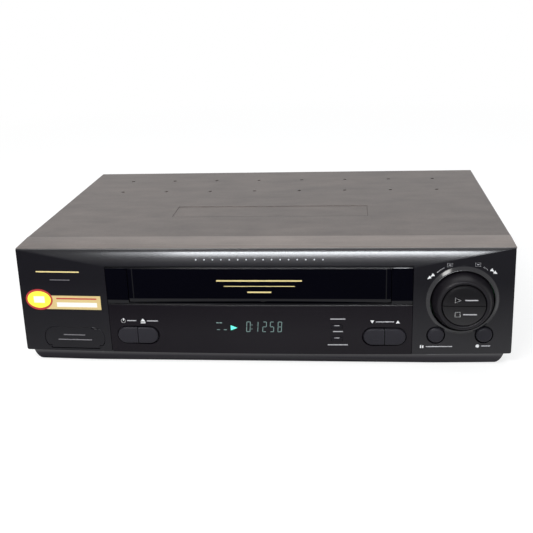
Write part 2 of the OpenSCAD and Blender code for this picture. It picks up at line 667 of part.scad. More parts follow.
module channel_switch() {
  color([0.9, 0.9, 0.9]) at_y() union() {
    box(switch_x - 3, switch_x + 1, panel_y - 1, back_y + 1.5, switch_z - 2, switch_z + 2);
    box(switch_x - 6, switch_x + 4, panel_y - 2.5, panel_y - 0.1, switch_z - 4, switch_z + 4);
  }
}
module cord_gland() {
  color([0.05, 0.05, 0.05]) at_y() difference() {
    union() {
      ycyl(gland_x, gland_z, 4.1, panel_y - 4, back_y + 7, 48);
      ycyl(gland_x, gland_z, 6.5, back_y, back_y + 2, 48);
      ycyl(gland_x, gland_z, 5.5, panel_y - 4, panel_y, 48);
    }
    ycyl(gland_x, gland_z, 2.6, panel_y - 5, back_y + 8, 48);
  }
}
// ---- boards and power supply ----
module main_board() {
  x0 = slot_x + deck_hw + 3; y0 = deck_y0;
  color([0.15, 0.35, 0.15]) at_y() union() {
    box(x0, pan_x - pan_t - 1, y0 - 20, panel_y - 0.5, board_z, board_z + 1.6);
    for (p = [[x0 + 12, y0 + 20], [x0 + 40, y0 + 50], [x0 + 22, y0 + 90]])
      box(p[0] - 8, p[0] + 8, p[1] - 6, p[1] + 6, board_z + 1.5, board_z + 5);
    // card connector
    box(x0 + 6, x0 + 60, y0 + 66, y0 + 69, board_z + 1.5, board_z + 9);
  }
}
module power_board() {
  x1 = slot_x - deck_hw - 3; y0 = bay_y - 136;
  color([0.55, 0.4, 0.15]) at_y() union() {
    box(-pan_x + pan_t + 1, x1, y0, panel_y - 0.5, board_z, board_z + 1.6);
    box(x1 - 20, x1 - 6, y0 + 8, y0 + 30, board_z + 1.5, board_z + 12);
  }
}
module transformer() {
  z = board_z + 1.6;
  color([0.35, 0.3, 0.2]) at_y() union() {
    x = gland_x; y = bay_y - 40; w = trafo_w / 2;
    box(x - w, x + w, y - w + 2, y + w - 2, z, z + 6);
    box(x - w, x + w, y - w + 6, y + w - 6, z + 5, z + trafo_h);
    box(x - w + 6, x + w - 6, y - w, y + w, z + 9, z + trafo_h - 4);
  }
}
module capacitors() {
  z = board_z + 1.6;
  color([0.15, 0.2, 0.4]) at_y() union() {
    zcyl(gland_x - 15, bay_y - 75, 9, z, z + 32, 48);
    for (i = [0:3]) zcyl(gland_x - 20 + i * 12, bay_y - 94, 4, z, z + 12 + (i % 2) * 4, 32);
    for (i = [0:2]) zcyl(slot_x + deck_hw + 16 + i * 14, deck_y0 + 125 - i * 6, 4, z, z + 11, 32);
  }
}
module heat_sink() {
  z = board_z + 1.6;
  color([0.6, 0.6, 0.62]) at_y() union() {
    x = gland_x + 2; y = bay_y - 84;
    box(x, x + 30, y, y + 2, z, z + sink_h);
    for (i = [0:5]) box(x + i * 5.7, x + 1.5 + i * 5.7, y + 2 - e, y + 10, z, z + sink_h);
  }
}
// ---- deck ----
function cap_pos() = [slot_x + 50, drum_y - 37];
function cam_pos() = [slot_x - 62, drum_y - 7];
function pin_pos() = [cam_pos()[0], cam_pos()[1] + gear_m * (cam_n + pin_n) / 2];
function clutch_pos() = [slot_x, reel_y + 17];
function arm_pos() = [slot_x + 78, drum_y - 35];
function ten_pos() = [slot_x - 78, drum_y - 32];
roller_r = 6;
cap_shaft = 1.5;
pinch_gap = 0.3;
pinch_turn = 25;
guide_sweep = 52;
module deck_plate() {
  z0 = deck_z - deck_t;
  color([0.7, 0.7, 0.72]) at_y() difference() {
    union() {
      box(slot_x - deck_hw, slot_x + deck_hw, deck_y0, deck_y1, z0, deck_z);
      for (s = [-1, 1]) zcyl(slot_x + s * reel_x, reel_y, 1.5, z0, deck_z + 14, 32);
      // capstan bearing
      zcyl(cap_pos()[0], cap_pos()[1], 3, z0 - 2, deck_z + 7, 48);
      // cam gear axle with its washer
      zcyl(cam_pos()[0], cam_pos()[1], 2, z0 - 9.5, z0 + e, 32);
      zcyl(cam_pos()[0], cam_pos()[1], 3.6, z0 - 10.5, z0 - 9.5, 32);
      // clutch axle
      zcyl(clutch_pos()[0], clutch_pos()[1], 1.5, z0 - 13.4, z0 + e, 32);
      zcyl(clutch_pos()[0], clutch_pos()[1], 3, z0 - 14.2, z0 - 13.4, 32);
      // pinch arm and tension arm posts
      zcyl(arm_pos()[0], arm_pos()[1], 2, z0, deck_z + 6, 32);
      zcyl(ten_pos()[0], ten_pos()[1], 2, z0, deck_z + 6, 32);
    }
    zcyl(cap_pos()[0], cap_pos()[1], cap_shaft + run_c, z0 - 5, deck_z + 20, 48);
    zcyl(pin_pos()[0], pin_pos()[1], 3, z0 - 1, deck_z + 1, 32);
    zcyl(slot_x, drum_y, 8, z0 - 1, deck_z + 1, 48);
    for (p = deck_posts()) zcyl(p[0], p[1], 1.7, z0 - 1, deck_z + 1, 24);
    // lightening windows
    box(slot_x - 20, slot_x + 20, reel_y - 45, reel_y - 17, z0 - 1, deck_z + 1);
    for (s = [-1, 1]) box(slot_x + s * 76 - 6, slot_x + s * 76 + 6, reel_y - 41, reel_y + 29, z0 - 1, deck_z + 1);
  }
}
module deck_screws() {
  color([0.75, 0.75, 0.72]) at_y() for (p = deck_posts()) difference() {
    union() {
      zcyl(p[0], p[1], 3, deck_z, deck_z + 1.8, 32);
      zcyl(p[0], p[1], 1.25, floor_z + 4, deck_z + 1, 24);
    }
    for (a = [0, 90]) translate([p[0], p[1], deck_z + 1.8]) rotate([0, 0, a]) cube([3.4, 0.8, 1.6], center = true);
  }
}
module tilted() { translate([slot_x, drum_y, deck_z]) rotate([drum_tilt, 0, 0]) children(); }
base_h = drum_r * sin(drum_tilt) + 1;
module lower_drum() {
  color([0.75, 0.75, 0.76]) at_y() union() {
    difference() {
      tilted() cylinder(r = drum_r, h = base_h + drum_h, $fn = 96);
      box(slot_x - 60, slot_x + 60, drum_y - 60, drum_y + 60, deck_z - 30, deck_z);
      tilted() translate([0, 0, base_h + drum_h - 6]) cylinder(r = 6, h = 20, $fn = 48);
      tilted() translate([0, 0, -10]) cylinder(r = 2 + run_c, h = 60, $fn = 48);
    }
  }
}
module upper_drum() {
  color([0.82, 0.82, 0.83]) at_y() tilted() difference() {
    union() {
      translate([0, 0, base_h + drum_h + 0.1]) cylinder(r = drum_r, h = drum_h, $fn = 96);
      translate([0, 0, 6]) cylinder(r = 2, h = base_h + drum_h, $fn = 48);
    }
    // turned recess on top and the four head windows at the lower edge
    translate([0, 0, base_h + 2 * drum_h - 5]) cylinder(r = drum_r - 8, h = 10, $fn = 96);
    for (a = [0:90:270]) rotate([0, 0, a]) translate([drum_r - 1.5, -2, base_h + drum_h])
      cube([4, 4, 2.5]);
  }
}
module reel(s) {
  z = deck_z + 0.3;
  x = slot_x + s * reel_x;
  color([0.12, 0.12, 0.12]) at_y() difference() {
    union() {
      zcyl(x, reel_y, reel_r, z, z + 2.4, 96);
      zcyl(x, reel_y, 9, z + 2.4 - e, z + 4, 64);
      zcyl(x, reel_y, 5, z + 3, z + 15, 48);
      for (a = [0:60:300]) translate([x, reel_y, z + 3.9]) rotate([0, 0, a]) translate([4, -0.7, 0]) cube([3, 1.4, 9]);
    }
    zcyl(x, reel_y, 1.5 + run_c, z - 1, z + 14.2, 48);
  }
}
module supply_reel() { reel(-1); }
module take_up_reel() { reel(1); }
module capstan() {
  z0 = deck_z - deck_t;
  c = cap_pos();
  color([0.7, 0.7, 0.72]) at_y() union() {
    zcyl(c[0], c[1], cap_shaft, z0 - 8, deck_z + 27, 48);
    zcyl(c[0], c[1], 22, z0 - 7.6, z0 - 2.2, 96);
    zcyl(c[0], c[1], 8, z0 - 11.6, z0 - 7.5, 64);
  }
}
module capstan_motor() {
  // stator board under the flywheel
  c = cap_pos();
  color([0.1, 0.3, 0.5]) at_y() difference() {
    union() {
      box(c[0] - 24, c[0] + 24, c[1] - 8, c[1] + 30, floor_z, floor_z + 1.6);
      for (a = [60:60:120]) translate([c[0], c[1], 0]) rotate([0, 0, a]) zcyl(16, 0, 4.5, floor_z + 1.5, deck_z - deck_t - 8, 32);
    }
  }
}
function roller_engaged() = [cap_pos()[0] + (cap_shaft + roller_r + pinch_gap) * cos(60),
  cap_pos()[1] + (cap_shaft + roller_r + pinch_gap) * sin(60)];
function turned(p, c, a) = [c[0] + (p[0] - c[0]) * cos(a) - (p[1] - c[1]) * sin(a),
  c[1] + (p[0] - c[0]) * sin(a) + (p[1] - c[1]) * cos(a)];
function roller_rest() = turned(roller_engaged(), arm_pos(), -pinch_turn);
// flat link between two points with round ends
module link(p, q, r, z0, z1) {
  d = sqrt(pow(q[0] - p[0], 2) + pow(q[1] - p[1], 2));
  a = atan2(q[1] - p[1], q[0] - p[0]);
  union() {
    zcyl(p[0], p[1], r, z0, z1, 48);
    zcyl(q[0], q[1], r, z0, z1, 48);
    translate([p[0], p[1], z0]) rotate([0, 0, a]) translate([0, -r * 0.8, 0]) cube([d, 1.6 * r, z1 - z0]);
  }
}
module pinch_arm() {
  p = arm_pos(); q = roller_rest();
  color([0.75, 0.75, 0.75]) at_y() difference() {
    union() {
      link(p, q, 4, deck_z + 2, deck_z + 4);
      zcyl(p[0], p[1], 4, deck_z + 0.2, deck_z + 5, 48);
      zcyl(q[0], q[1], 1.2, deck_z + 3, deck_z + 26, 32);
    }
    zcyl(p[0], p[1], 2 + run_c, deck_z - 1, deck_z + 8, 48);
  }
}
module pinch_roller() {
  q = roller_rest();
  color([0.08, 0.08, 0.08]) at_y() difference() {
    zcyl(q[0], q[1], roller_r, deck_z + 8, deck_z + 25, 64);
    zcyl(q[0], q[1], 1.2 + run_c, deck_z + 3, deck_z + 28, 32);
  }
  color([0.8, 0.8, 0.8]) at_y() difference() {
    zcyl(q[0], q[1], 2.4, deck_z + 4.3, deck_z + 8, 32);
    zcyl(q[0], q[1], 1.2 + run_c, deck_z + 3, deck_z + 28, 32);
  }
}
module tension_arm() {
  p = ten_pos(); q = [slot_x - 52, drum_y - 47];
  color([0.75, 0.75, 0.75]) at_y() difference() {
    union() {
      link(p, q, 3.4, deck_z + 2, deck_z + 3.6);
      zcyl(p[0], p[1], 4, deck_z + 0.2, deck_z + 5, 48);
      zcyl(q[0], q[1], 1.8, deck_z + 3, deck_z + 21, 32);
    }
    zcyl(p[0], p[1], 2 + run_c, deck_z - 1, deck_z + 8, 48);
  }
}
module guide(s) {
  x = slot_x + s * 28; y = drum_y - 47;
  color([0.78, 0.78, 0.8]) at_y() union() {
    translate([x, y, deck_z + 0.2]) rotate([0, 0, s * 25]) translate([-7, -6, 0]) cube([14, 12, 2.4]);
    zcyl(x, y, 3.2, deck_z + 2.4, deck_z + 23, 48);
    zcyl(x, y, 4, deck_z + 5, deck_z + 6.4, 48);
    zcyl(x, y, 4, deck_z + 19.4, deck_z + 20.8, 48);
  }
}
module supply_guide() { guide(-1); }
module take_up_guide() { guide(1); }
module erase_head() {
  x = slot_x - 58; y = drum_y - 15;
  color([0.6, 0.6, 0.62]) at_y() union() {
    box(x - 6, x + 5, y - 5, y + 5, deck_z, deck_z + 3);
    box(x - 4, x + 4, y - 4, y + 4, deck_z + 2.9, deck_z + 22);
  }
}
module audio_head() {
  x = slot_x + 59; y = drum_y + 1;
  color([0.65, 0.65, 0.68]) at_y() union() {
    box(x - 7, x + 10, y - 7, y + 7, deck_z, deck_z + 3);
    box(x - 6, x + 4, y - 5, y + 5, deck_z + 2.9, deck_z + 24);
  }
}
module clutch_pulley() {
  z0 = deck_z - deck_t; c = clutch_pos();
  color([0.2, 0.2, 0.2]) at_y() difference() {
    union() {
      zcyl(c[0], c[1], 14, z0 - 11.6, z0 - 7.6, 96);
      zcyl(c[0], c[1], 9, z0 - 7.7, z0 - 0.4, 64);
      zcyl(c[0], c[1], 4, z0 - 13.2, z0 - 11.5, 48);
    }
    zcyl(c[0], c[1], 1.5 + run_c, z0 - 15, z0, 48);
  }
}
belt_c = 0.2;                 // the belt's clearance on its pulleys
module drive_belt() {
  a = cap_pos(); b = clutch_pos(); z0 = deck_z - deck_t - 10.8;
  color([0.05, 0.05, 0.05]) at_y() difference() {
    hull() {
      zcyl(a[0], a[1], 8 + belt_c + 1, z0, z0 + 2.2, 48);
      zcyl(b[0], b[1], 14 + belt_c + 1, z0, z0 + 2.2, 48);
    }
    hull() {
      zcyl(a[0], a[1], 8 + belt_c, z0 - 1, z0 + 3, 48);
      zcyl(b[0], b[1], 14 + belt_c, z0 - 1, z0 + 3, 48);
    }
  }
}
// ---- gears ----
// involute of the base circle: polar angle in degrees at a pressure angle a
function inv(a) = tan(a) * 180 / PI - a;
function flank(n, m, r, bl) = let (rp = n * m / 2, rb = rp * cos(20), rr = max(r, rb))
  90 / n - bl / rp * 90 / PI + inv(20) - inv(acos(min(1, rb / rr)));
function gear_pts(n, m, bl) = let (rp = n * m / 2, rb = rp * cos(20), r0 = rp - 1.3 * m, r2 = rp + 0.95 * m,
    rs = rb < r0 ? [r0, rp, r2] : [r0, rb, rp, r2], k0 = len(rs) - 1)
  [for (i = [0:n - 1]) let (a = i * 360 / n)
    each concat([for (r = rs) [r * cos(a - flank(n, m, r, bl)), r * sin(a - flank(n, m, r, bl))]],
      [for (k = [k0:-1:0]) let (r = rs[k]) [r * cos(a + flank(n, m, r, bl)), r * sin(a + flank(n, m, r, bl))]])];
module cam_gear() {
  c = cam_pos(); z1 = deck_z - deck_t - 5.2;
  color([0.9, 0.88, 0.8]) at_y() difference() {
    union() {
      translate([c[0], c[1], z1 - 4]) rotate([0, 0, 90]) linear_extrude(4)
        polygon(gear_pts(cam_n, gear_m, backlash));
      zcyl(c[0], c[1], 6, z1 - 0.1, deck_z - deck_t - 0.3, 48);
    }
    zcyl(c[0], c[1], 2 + run_c, 0, deck_z, 48);
    // cam groove in the upper face
    difference() {
      zcyl(c[0] + 2, c[1], 15, z1 - 1.5, z1 + 1, 64);
      zcyl(c[0] + 2, c[1], 12, z1 - 3, z1 + 2, 64);
    }
  }
}
module motor_pinion() {
  c = pin_pos(); z1 = deck_z - deck_t - 5.2;
  color([0.9, 0.88, 0.8]) at_y() union() {
    translate([c[0], c[1], z1 - 4]) rotate([0, 0, 270 + 180 / pin_n]) linear_extrude(4)
      polygon(gear_pts(pin_n, gear_m, backlash));
    zcyl(c[0], c[1], 1, z1 - 2, deck_z + 12, 32);
  }
}
module loading_motor() {
  c = pin_pos();
  color([0.7, 0.7, 0.72]) at_y() difference() {
    union() {
      zcyl(c[0], c[1], 11, deck_z, deck_z + 28, 64);
      zcyl(c[0], c[1], 3.4, deck_z + 27, deck_z + 30, 32);
    }
    zcyl(c[0], c[1], 1 + run_c, deck_z - 1, deck_z + 13, 32);
  }
}
// ---- carriage ----
space_z = hold_z + cass_h + 0.6;       // underside of the holder's top
rail_z0 = hold_z + 1;
rail_z1 = space_z + hold_t + 3.4;
pin_z = space_z - 2;                   // holder's guide pins
pin_ys = [hold_y + 20, hold_y + cass_d - 18];
slide_z = rail_z1 - 2.6;               // slider's guide pins
slide_ys = [hold_y + 12, hold_y + cass_d - 10];
rack_y = hold_y + 57;                  // carriage gear's axis
cg_r = cgear_n * cgear_m / 2;
cg_z = rail_z0 - 1.1 * cgear_m - cg_r;
module both() {
  translate([slot_x, 0, 0]) { children(); mirror([1, 0, 0]) children(); }
}
module cassette_holder() {
  color([0.72, 0.72, 0.73]) at_y() union() {
    translate([slot_x, 0, 0]) difference() {
      box(-out_x, out_x, hold_y, hold_y + cass_d + 2, space_z, space_z + hold_t);
      box(-40, 40, hold_y + 20, hold_y + 60, space_z - 1, space_z + 3);
    }
    both() {
      box(in_x, out_x, hold_y, hold_y + cass_d + 2, hold_z - hold_t, space_z + e);
      box(in_x - 9, out_x, hold_y, hold_y + cass_d + 2, hold_z - hold_t, hold_z);
      box(64, 78, hold_y + cass_d + 1, hold_y + cass_d + 2, space_z - 7, space_z + e);
      for (y = pin_ys) xcyl(y, pin_z, 1.5, out_x - e, rail_o - 0.1, 32);
    }
  }
}
module carriage_slider() {
  color([0.2, 0.2, 0.22]) at_y() difference() {
    union() {
      both() {
        box(rail_x, rail_o, hold_y + 6, hold_y + cass_d - 4, rail_z0, rail_z1);
        for (y = slide_ys) xcyl(y, slide_z, 1.5, rail_o - e, brk_o + 1, 32);
      }
      translate([slot_x, 0, 0]) box(-rail_o, rail_o, hold_y + 66, hold_y + 78, rail_z1 - 1.4, rail_z1);
      // rack under the left rail
      translate([slot_x - rail_o, 0, 0]) rotate([90, 0, 90]) linear_extrude(hold_t) polygon(rack_pts());
    }
    // upright slots for the holder's pins
    both() for (y = pin_ys) box(rail_x - 1, rail_o + 0.2, y - 1.7, y + 1.7, rail_z0 - 5, pin_z + 1.7);
  }
}
// rack teeth pointing down from the rail, pitch line through the gear's pitch circle
function rack_pts() = let (p = PI * cgear_m, zp = cg_z + cg_r, n = 12, t = tan(20), h = backlash / 2,
    y0 = rack_y - 8.5 * p)
  concat([[y0 - p / 2, rail_z0 + 0.5], [y0 - p / 2, zp + 1.25 * cgear_m]],
    [for (i = [0:n - 1]) let (yc = y0 + i * p)
      each [[yc - p / 4 + h - 1.1 * cgear_m * t, zp + 1.1 * cgear_m], [yc - p / 4 + h + 0.95 * cgear_m * t, zp - 0.95 * cgear_m],
        [yc + p / 4 - h - 0.95 * cgear_m * t, zp - 0.95 * cgear_m], [yc + p / 4 - h + 1.1 * cgear_m * t, zp + 1.1 * cgear_m]]],
    [[y0 + (n - 0.5) * p, zp + 1.25 * cgear_m], [y0 + (n - 0.5) * p, rail_z0 + 0.5]]);
module carriage_brackets() {
  color([0.68, 0.68, 0.7]) at_y() union() {
    both() difference() {
      union() {
        box(brk_x, brk_o, hold_y + 6, hold_y + cass_d + 21, deck_z, rail_z1 + 3);
        box(brk_x, brk_o + 4, hold_y + 18, hold_y + cass_d + 6, deck_z, deck_z + 1.2);
      }
      // level slots for the slider's pins
      for (y = slide_ys) box(brk_x - 1, brk_o + 1, y - 1.7, y + travel_in + 1.7, slide_z - 1.6, slide_z + 1.6);
      // window that saves weight
      box(brk_x - 1, brk_o + 1, hold_y + 60, hold_y + 110, deck_z + 8, cg_z - 10);
    }
    // stub axle of the carriage gear
    translate([slot_x, 0, 0]) xcyl(rack_y, cg_z, 2, -brk_x - e, -rail_x - 0.1, 32);
  }
}
module carriage_gear() {
  color([0.9, 0.88, 0.8]) at_y() translate([slot_x, 0, 0]) difference() {
    translate([-rail_o + 0.1, rack_y, cg_z]) rotate([90, 0, 90]) rotate([0, 0, 90]) linear_extrude(hold_t - 0.2)
      polygon(gear_pts(cgear_n, cgear_m, backlash));
    xcyl(rack_y, cg_z, 2 + run_c, -rail_o - 1, -rail_x + 1, 32);
  }
}

top_cover();
front_bezel();
front_skirt();
door_surround();
trim_strip();
lower_fascia();
cassette_flap();
bottom_pan();
rear_panel();
rubber_feet();
cover_screws();
power_button();
eject_button();
channel_down_button();
channel_up_button();
menu_button();
set_button();
play_button();
stop_button();
pause_button();
record_button();
shuttle_ring();
jack_door();
front_jacks();
front_board();
display_tube();
tact_switches();
rear_jacks();
tuner_module();
channel_switch();
cord_gland();
main_board();
power_board();
transformer();
capacitors();
heat_sink();
deck_plate();
lower_drum();
upper_drum();
supply_reel();
take_up_reel();
capstan();
capstan_motor();
pinch_arm();
pinch_roller();
tension_arm();
supply_guide();
take_up_guide();
erase_head();
audio_head();
clutch_pulley();
drive_belt();
loading_motor();
motor_pinion();
cam_gear();
carriage_brackets();
carriage_slider();
cassette_holder();
carriage_gear();
deck_screws();
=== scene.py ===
import math
import bmesh
import bpy
from mathutils import Matrix, Vector


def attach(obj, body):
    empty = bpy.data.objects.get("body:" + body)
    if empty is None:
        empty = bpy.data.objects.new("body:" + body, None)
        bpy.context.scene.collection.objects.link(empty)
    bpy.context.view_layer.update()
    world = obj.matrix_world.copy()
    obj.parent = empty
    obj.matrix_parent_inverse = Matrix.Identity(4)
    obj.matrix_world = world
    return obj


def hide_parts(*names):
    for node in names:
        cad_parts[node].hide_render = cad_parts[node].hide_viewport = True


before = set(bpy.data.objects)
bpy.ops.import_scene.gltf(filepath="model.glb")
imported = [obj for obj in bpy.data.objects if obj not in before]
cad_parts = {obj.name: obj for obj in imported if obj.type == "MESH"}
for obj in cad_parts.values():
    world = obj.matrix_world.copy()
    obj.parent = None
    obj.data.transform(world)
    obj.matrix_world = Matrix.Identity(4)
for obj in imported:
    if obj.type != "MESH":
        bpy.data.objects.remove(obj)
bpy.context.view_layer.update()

# ---------------------------------------------------------------- sizes, in millimetres
# X to the right, Y back from the bezel's top edge, Z up from the table.
EDGE_BACK = -122.725                        # where the bezel's top edge lies on the frame's Y
HALF = 190.0                                # half width of the bezel
EDGE_Z, BOTTOM_Z = 93.0, 8.5                # top and bottom edges of the bezel
BULGE, BROW = 4.5, 36.0                     # how far the front stands out, how deep the brow curves
STRIP_BACK = EDGE_BACK + 29                 # where the cover's front strip ends, on the frame's Y
WIN = (-119.2, 114.9, 49.4, 79.1)           # glossy surround: left, right, bottom, top
FLAP = (-101.9, 98.9, 50.6, 78.4)           # flap, likewise
FLAP_FACE, FLAP_REAR = -2.9, -1.1
FOOT, FOOT_SLOPE = 3.4, 0.16                # height and slope of the foot of the flap and the surround
CREASE, CREASE_SLOPE = 3.8, 0.07            # width and slope of the flap's ends
TRIM_H = 0.9                                # height of the strip under the surround
PLATE_BACK = -0.5                           # back of the surround, the strip and the fascia
SKIRT_LOW, SKIRT_END, SKIRT_RAKE = 1.2, 179.5, 5.5
DIAL = (151.5, 52.6)                        # middle of the dial
CAP_FACE = -13.45                           # face of the caps in the dial
PAIR_X, PAIR_Z = (-97.0, 94.3), 23.4        # middles of the oval button pairs
SMALL_X, MENU_Z, SET_Z = 58, 31.8, 21.6     # middles of the two small buttons
ROUND_X, ROUND_Z = (132.8, 168.9), 24.4     # middles of the two round buttons
FLANGE_BACK, STEM_END = 0.9, 3.9            # backs of the buttons' flanges and stems
JACK_X, BAY_Z = -149.05, 19.35              # middle of the jack bay
BAY_LOW, BAY_TOP = 10.5, 28.9
PIN_Z = 12.2                                # height of the jack door's pins
PANEL_BACK, SHELL_END = 248.95, 257.95      # rear panel's face and the ends of its jacks


def bow(x):
    return BULGE * (1 - (x / HALF) ** 2)


def brow(drop):
    return BULGE * (1 - (1 - min(max(drop, 0.0), BROW) / BROW) ** 2)


def front(x, z):
    """Y of the moulded front at a place on it."""
    return -min(bow(x), brow(EDGE_Z - z))


def inside(x, z, x0, x1, z0, z1, r):
    """Distance in from the edge of a rectangle with rounded corners."""
    cx, cz = (x0 + x1) / 2, (z0 + z1) / 2
    qx = abs(x - cx) - (x1 - x0) / 2 + r
    qz = abs(z - cz) - (z1 - z0) / 2 + r
    return r - math.hypot(max(qx, 0), max(qz, 0)) - min(max(qx, qz), 0)


# ---------------------------------------------------------------- shader writing
class Number:
    """A socket that holds a number and takes part in arithmetic."""

    def __init__(self, tree, socket):
        self.tree, self.socket = tree, socket

    def calc(self, operation, *terms):
        made = self.tree.nodes.new("ShaderNodeMath")
        made.operation = operation
        for put, term in zip(made.inputs, terms):
            if isinstance(term, Number):
                self.tree.links.new(term.socket, put)
            else:
                put.default_value = term
        return Number(self.tree, made.outputs[0])

    def __add__(self, other):
        return self.calc("ADD", self, other)

    def __radd__(self, other):
        return self.calc("ADD", other, self)

    def __sub__(self, other):
        return self.calc("SUBTRACT", self, other)

    def __mul__(self, other):
        return self.calc("MULTIPLY", self, other)

    def __truediv__(self, other):
        return self.calc("DIVIDE", self, other)

    def __pow__(self, other):
        return self.calc("POWER", self, other)

    def __abs__(self):
        return self.calc("ABSOLUTE", self)

    def above(self, level):
        return self.calc("GREATER_THAN", self, level)

    def below(self, level):
        return self.calc("LESS_THAN", self, level)

    def least(self, other):
        return self.calc("MINIMUM", self, other)

    def most(self, other):
        return self.calc("MAXIMUM", self, other)

    def rise(self, start, end):
        """0 at start, 1 at end, level on both sides."""
        return ((self - start) / (end - start)).most(0.0).least(1.0)


def tone(*levels):
    """Linear colour of an 8-bit one."""
    return tuple(((c / 255 + 0.055) / 1.055) ** 2.4 if c > 10 else c / 255 / 12.92 for c in levels) + (1.0,)


def tinted(colour, times, plus=0.0):
    """A colour made lighter or darker."""
    return [min(1, c * times + plus) for c in colour[:3]] + [1]


def pick(low, high, at):
    """Number that runs from low to high."""
    return at * (high - low) + low


class Finish:
    """One material, built on a Principled shader."""

    def __init__(self, name, colour, rough, metal=0.0, **fixed):
        self.made = bpy.data.materials.new(name)
        self.made.use_nodes = True
        self.tree = self.made.node_tree
        self.tree.nodes.clear()
        self.shader = self.tree.nodes.new("ShaderNodeBsdfPrincipled")
        out = self.tree.nodes.new("ShaderNodeOutputMaterial")
        self.tree.links.new(self.shader.outputs[0], out.inputs[0])
        self.made.diffuse_color = colour
        self.set("Base Color", colour)
        self.set("Roughness", rough)
        self.set("Metallic", metal)
        for key, value in fixed.items():
            self.set(key.replace("_", " "), value)

    def fill(self, put, value):
        """Links a number to a socket, or sets the socket to a plain value."""
        if isinstance(value, Number):
            self.tree.links.new(value.socket, put)
        else:
            put.default_value = value

    def set(self, key, value):
        self.fill(self.shader.inputs[key], value)
        return self

    def node(self, kind, settings=None, sockets=None, out=0):
        made = self.tree.nodes.new("ShaderNode" + kind)
        for key, value in (settings or {}).items():
            setattr(made, key, value)
        for key, value in (sockets or {}).items():
            self.fill(made.inputs[key], value)
        return Number(self.tree, made.outputs[out])

    def place(self, scale=(1, 1, 1)):
        """Object coordinates, stretched; in millimetres when scale is 1."""
        here = self.node("TexCoord", out=3)
        return self.node("Mapping", None, {"Vector": here, "Scale": [1000 * s for s in scale]})

    def noise(self, size, detail=2.0, rough=0.5, scale=(1, 1, 1)):
        """Cloudy pattern from 0 to 1 whose features are about size millimetres."""
        return self.node("TexNoise", None, {"Vector": self.place(scale), "Scale": 1.0 / size,
                                            "Detail": detail, "Roughness": rough})

    def mix(self, first, second, at):
        """Colour between two."""
        sockets = {0: at, 6: first, 7: second}
        return self.node("Mix", {"data_type": "RGBA", "clamp_factor": True}, sockets, 2)

    def bump(self, height, depth):
        """Relief of the given depth in millimetres."""
        relief = {"Height": height, "Distance": depth / 1000, "Strength": 1.0}
        return self.set("Normal", self.node("Bump", None, relief))

    def axis(self, which):
        """One object coordinate in millimetres."""
        return self.node("SeparateXYZ", None, {"Vector": self.place()}, "XYZ".index(which))


def moulded(name, colour, rough=0.42, grain=0.35, depth=0.012, level=0.5, **fixed):
    """Moulded plastic: fine spark-eroded grain, faint cloudiness and handling marks."""
    f = Finish(name, colour, rough, Specular_IOR_Level=level, **fixed)
    cloud = f.noise(38, 3)
    fine = f.noise(grain, 2, 0.6)
    f.set("Base Color", f.mix(tinted(colour, 0.88), tinted(colour, 1.12), cloud))
    f.set("Roughness", pick(rough - 0.06, rough + 0.06, cloud * 0.6 + fine * 0.4))
    return f.bump(fine, depth)


def polished(name, colour, rough=0.08, level=0.5):
    """Polished plastic with the faint swirl of wiping."""
    f = Finish(name, colour, rough, Specular_IOR_Level=level)
    wipe = f.noise(3.0, 4, 0.65, scale=(1, 1, 6))
    haze = f.noise(60, 2)
    f.set("Base Color", f.mix(tinted(colour, 0.85), tinted(colour, 1.2), haze))
    f.set("Roughness", pick(rough - 0.02, rough + 0.05, wipe * 0.5 + haze * 0.5))
    return f.bump(haze, 0.01)


def sheet_metal(name, colour, rough=0.32, along=(0.04, 1, 1), spangle=False):
    """Rolled or plated metal with its grain along one axis."""
    f = Finish(name, colour, rough, 1.0)
    lines = f.noise(0.35, 3, 0.6, scale=along)
    cloud = f.noise(14, 3)
    if spangle:
        cells = f.node("TexVoronoi", None, {"Vector": f.place(), "Scale": 1 / 6.0})
        cloud = cloud * 0.6 + cells * 0.4
    f.set("Base Color", f.mix(tinted(colour, 0.82), tinted(colour, 1.1), cloud))
    f.set("Roughness", pick(rough - 0.08, rough + 0.12, lines * 0.5 + cloud * 0.5))
    return f.bump(lines, 0.006)


def turned_metal(name, colour, rough=0.22):
    """Turned or ground metal."""
    f = Finish(name, colour, rough, 1.0)
    rings = f.noise(0.25, 2, 0.6, scale=(0.08, 0.08, 1))
    f.set("Roughness", pick(rough - 0.05, rough + 0.1, rings))
    f.set("Base Color", f.mix(tinted(colour, 0.85), colour, rings))
    return f.bump(rings, 0.004)


def rubbery(name, colour):
    """Rubber with a little dust on it."""
    rough = 0.75
    f = Finish(name, colour, rough, Specular_IOR_Level=0.3)
    dust = f.noise(4, 4, 0.7)
    f.set("Base Color", f.mix(colour, tinted(colour, 1.9, 0.01), dust * dust))
    f.set("Roughness", pick(rough - 0.08, rough + 0.1, dust))
    return f.bump(f.noise(0.6, 2), 0.02)


def printed(name, colour, rough=0.5):
    """Pad print or foil, a little uneven."""
    f = Finish(name, colour, rough)
    wear = f.noise(0.9, 3, 0.6)
    f.set("Base Color", f.mix(tinted(colour, 0.78), colour, wear))
    f.set("Roughness", pick(rough - 0.05, rough + 0.1, wear))
    return f.bump(wear, 0.003)


def glossed(f, weight, rough):
    """Clear gloss over part of a finish."""
    f.set("Coat Weight", weight)
    return f.set("Coat Roughness", rough)


def sheen(f, rough, top, foot, wide=0.9, creases=()):
    """Gloss along the top edge, stronger to the right, over the sloping foot and along upright creases."""
    x, z = f.axis("X"), f.axis("Z")
    along_top = z.rise(top - wide, top - wide * 0.6) * (x.rise(-95, 10) * 0.75 + 0.15)
    weight = along_top.most(z.rise(foot + FOOT, foot + FOOT - 0.4) * 0.45)
    for place in creases:
        weight = weight.most(abs(x - place).rise(0.5, 0.25) * 0.25)
    return glossed(f, weight, rough)


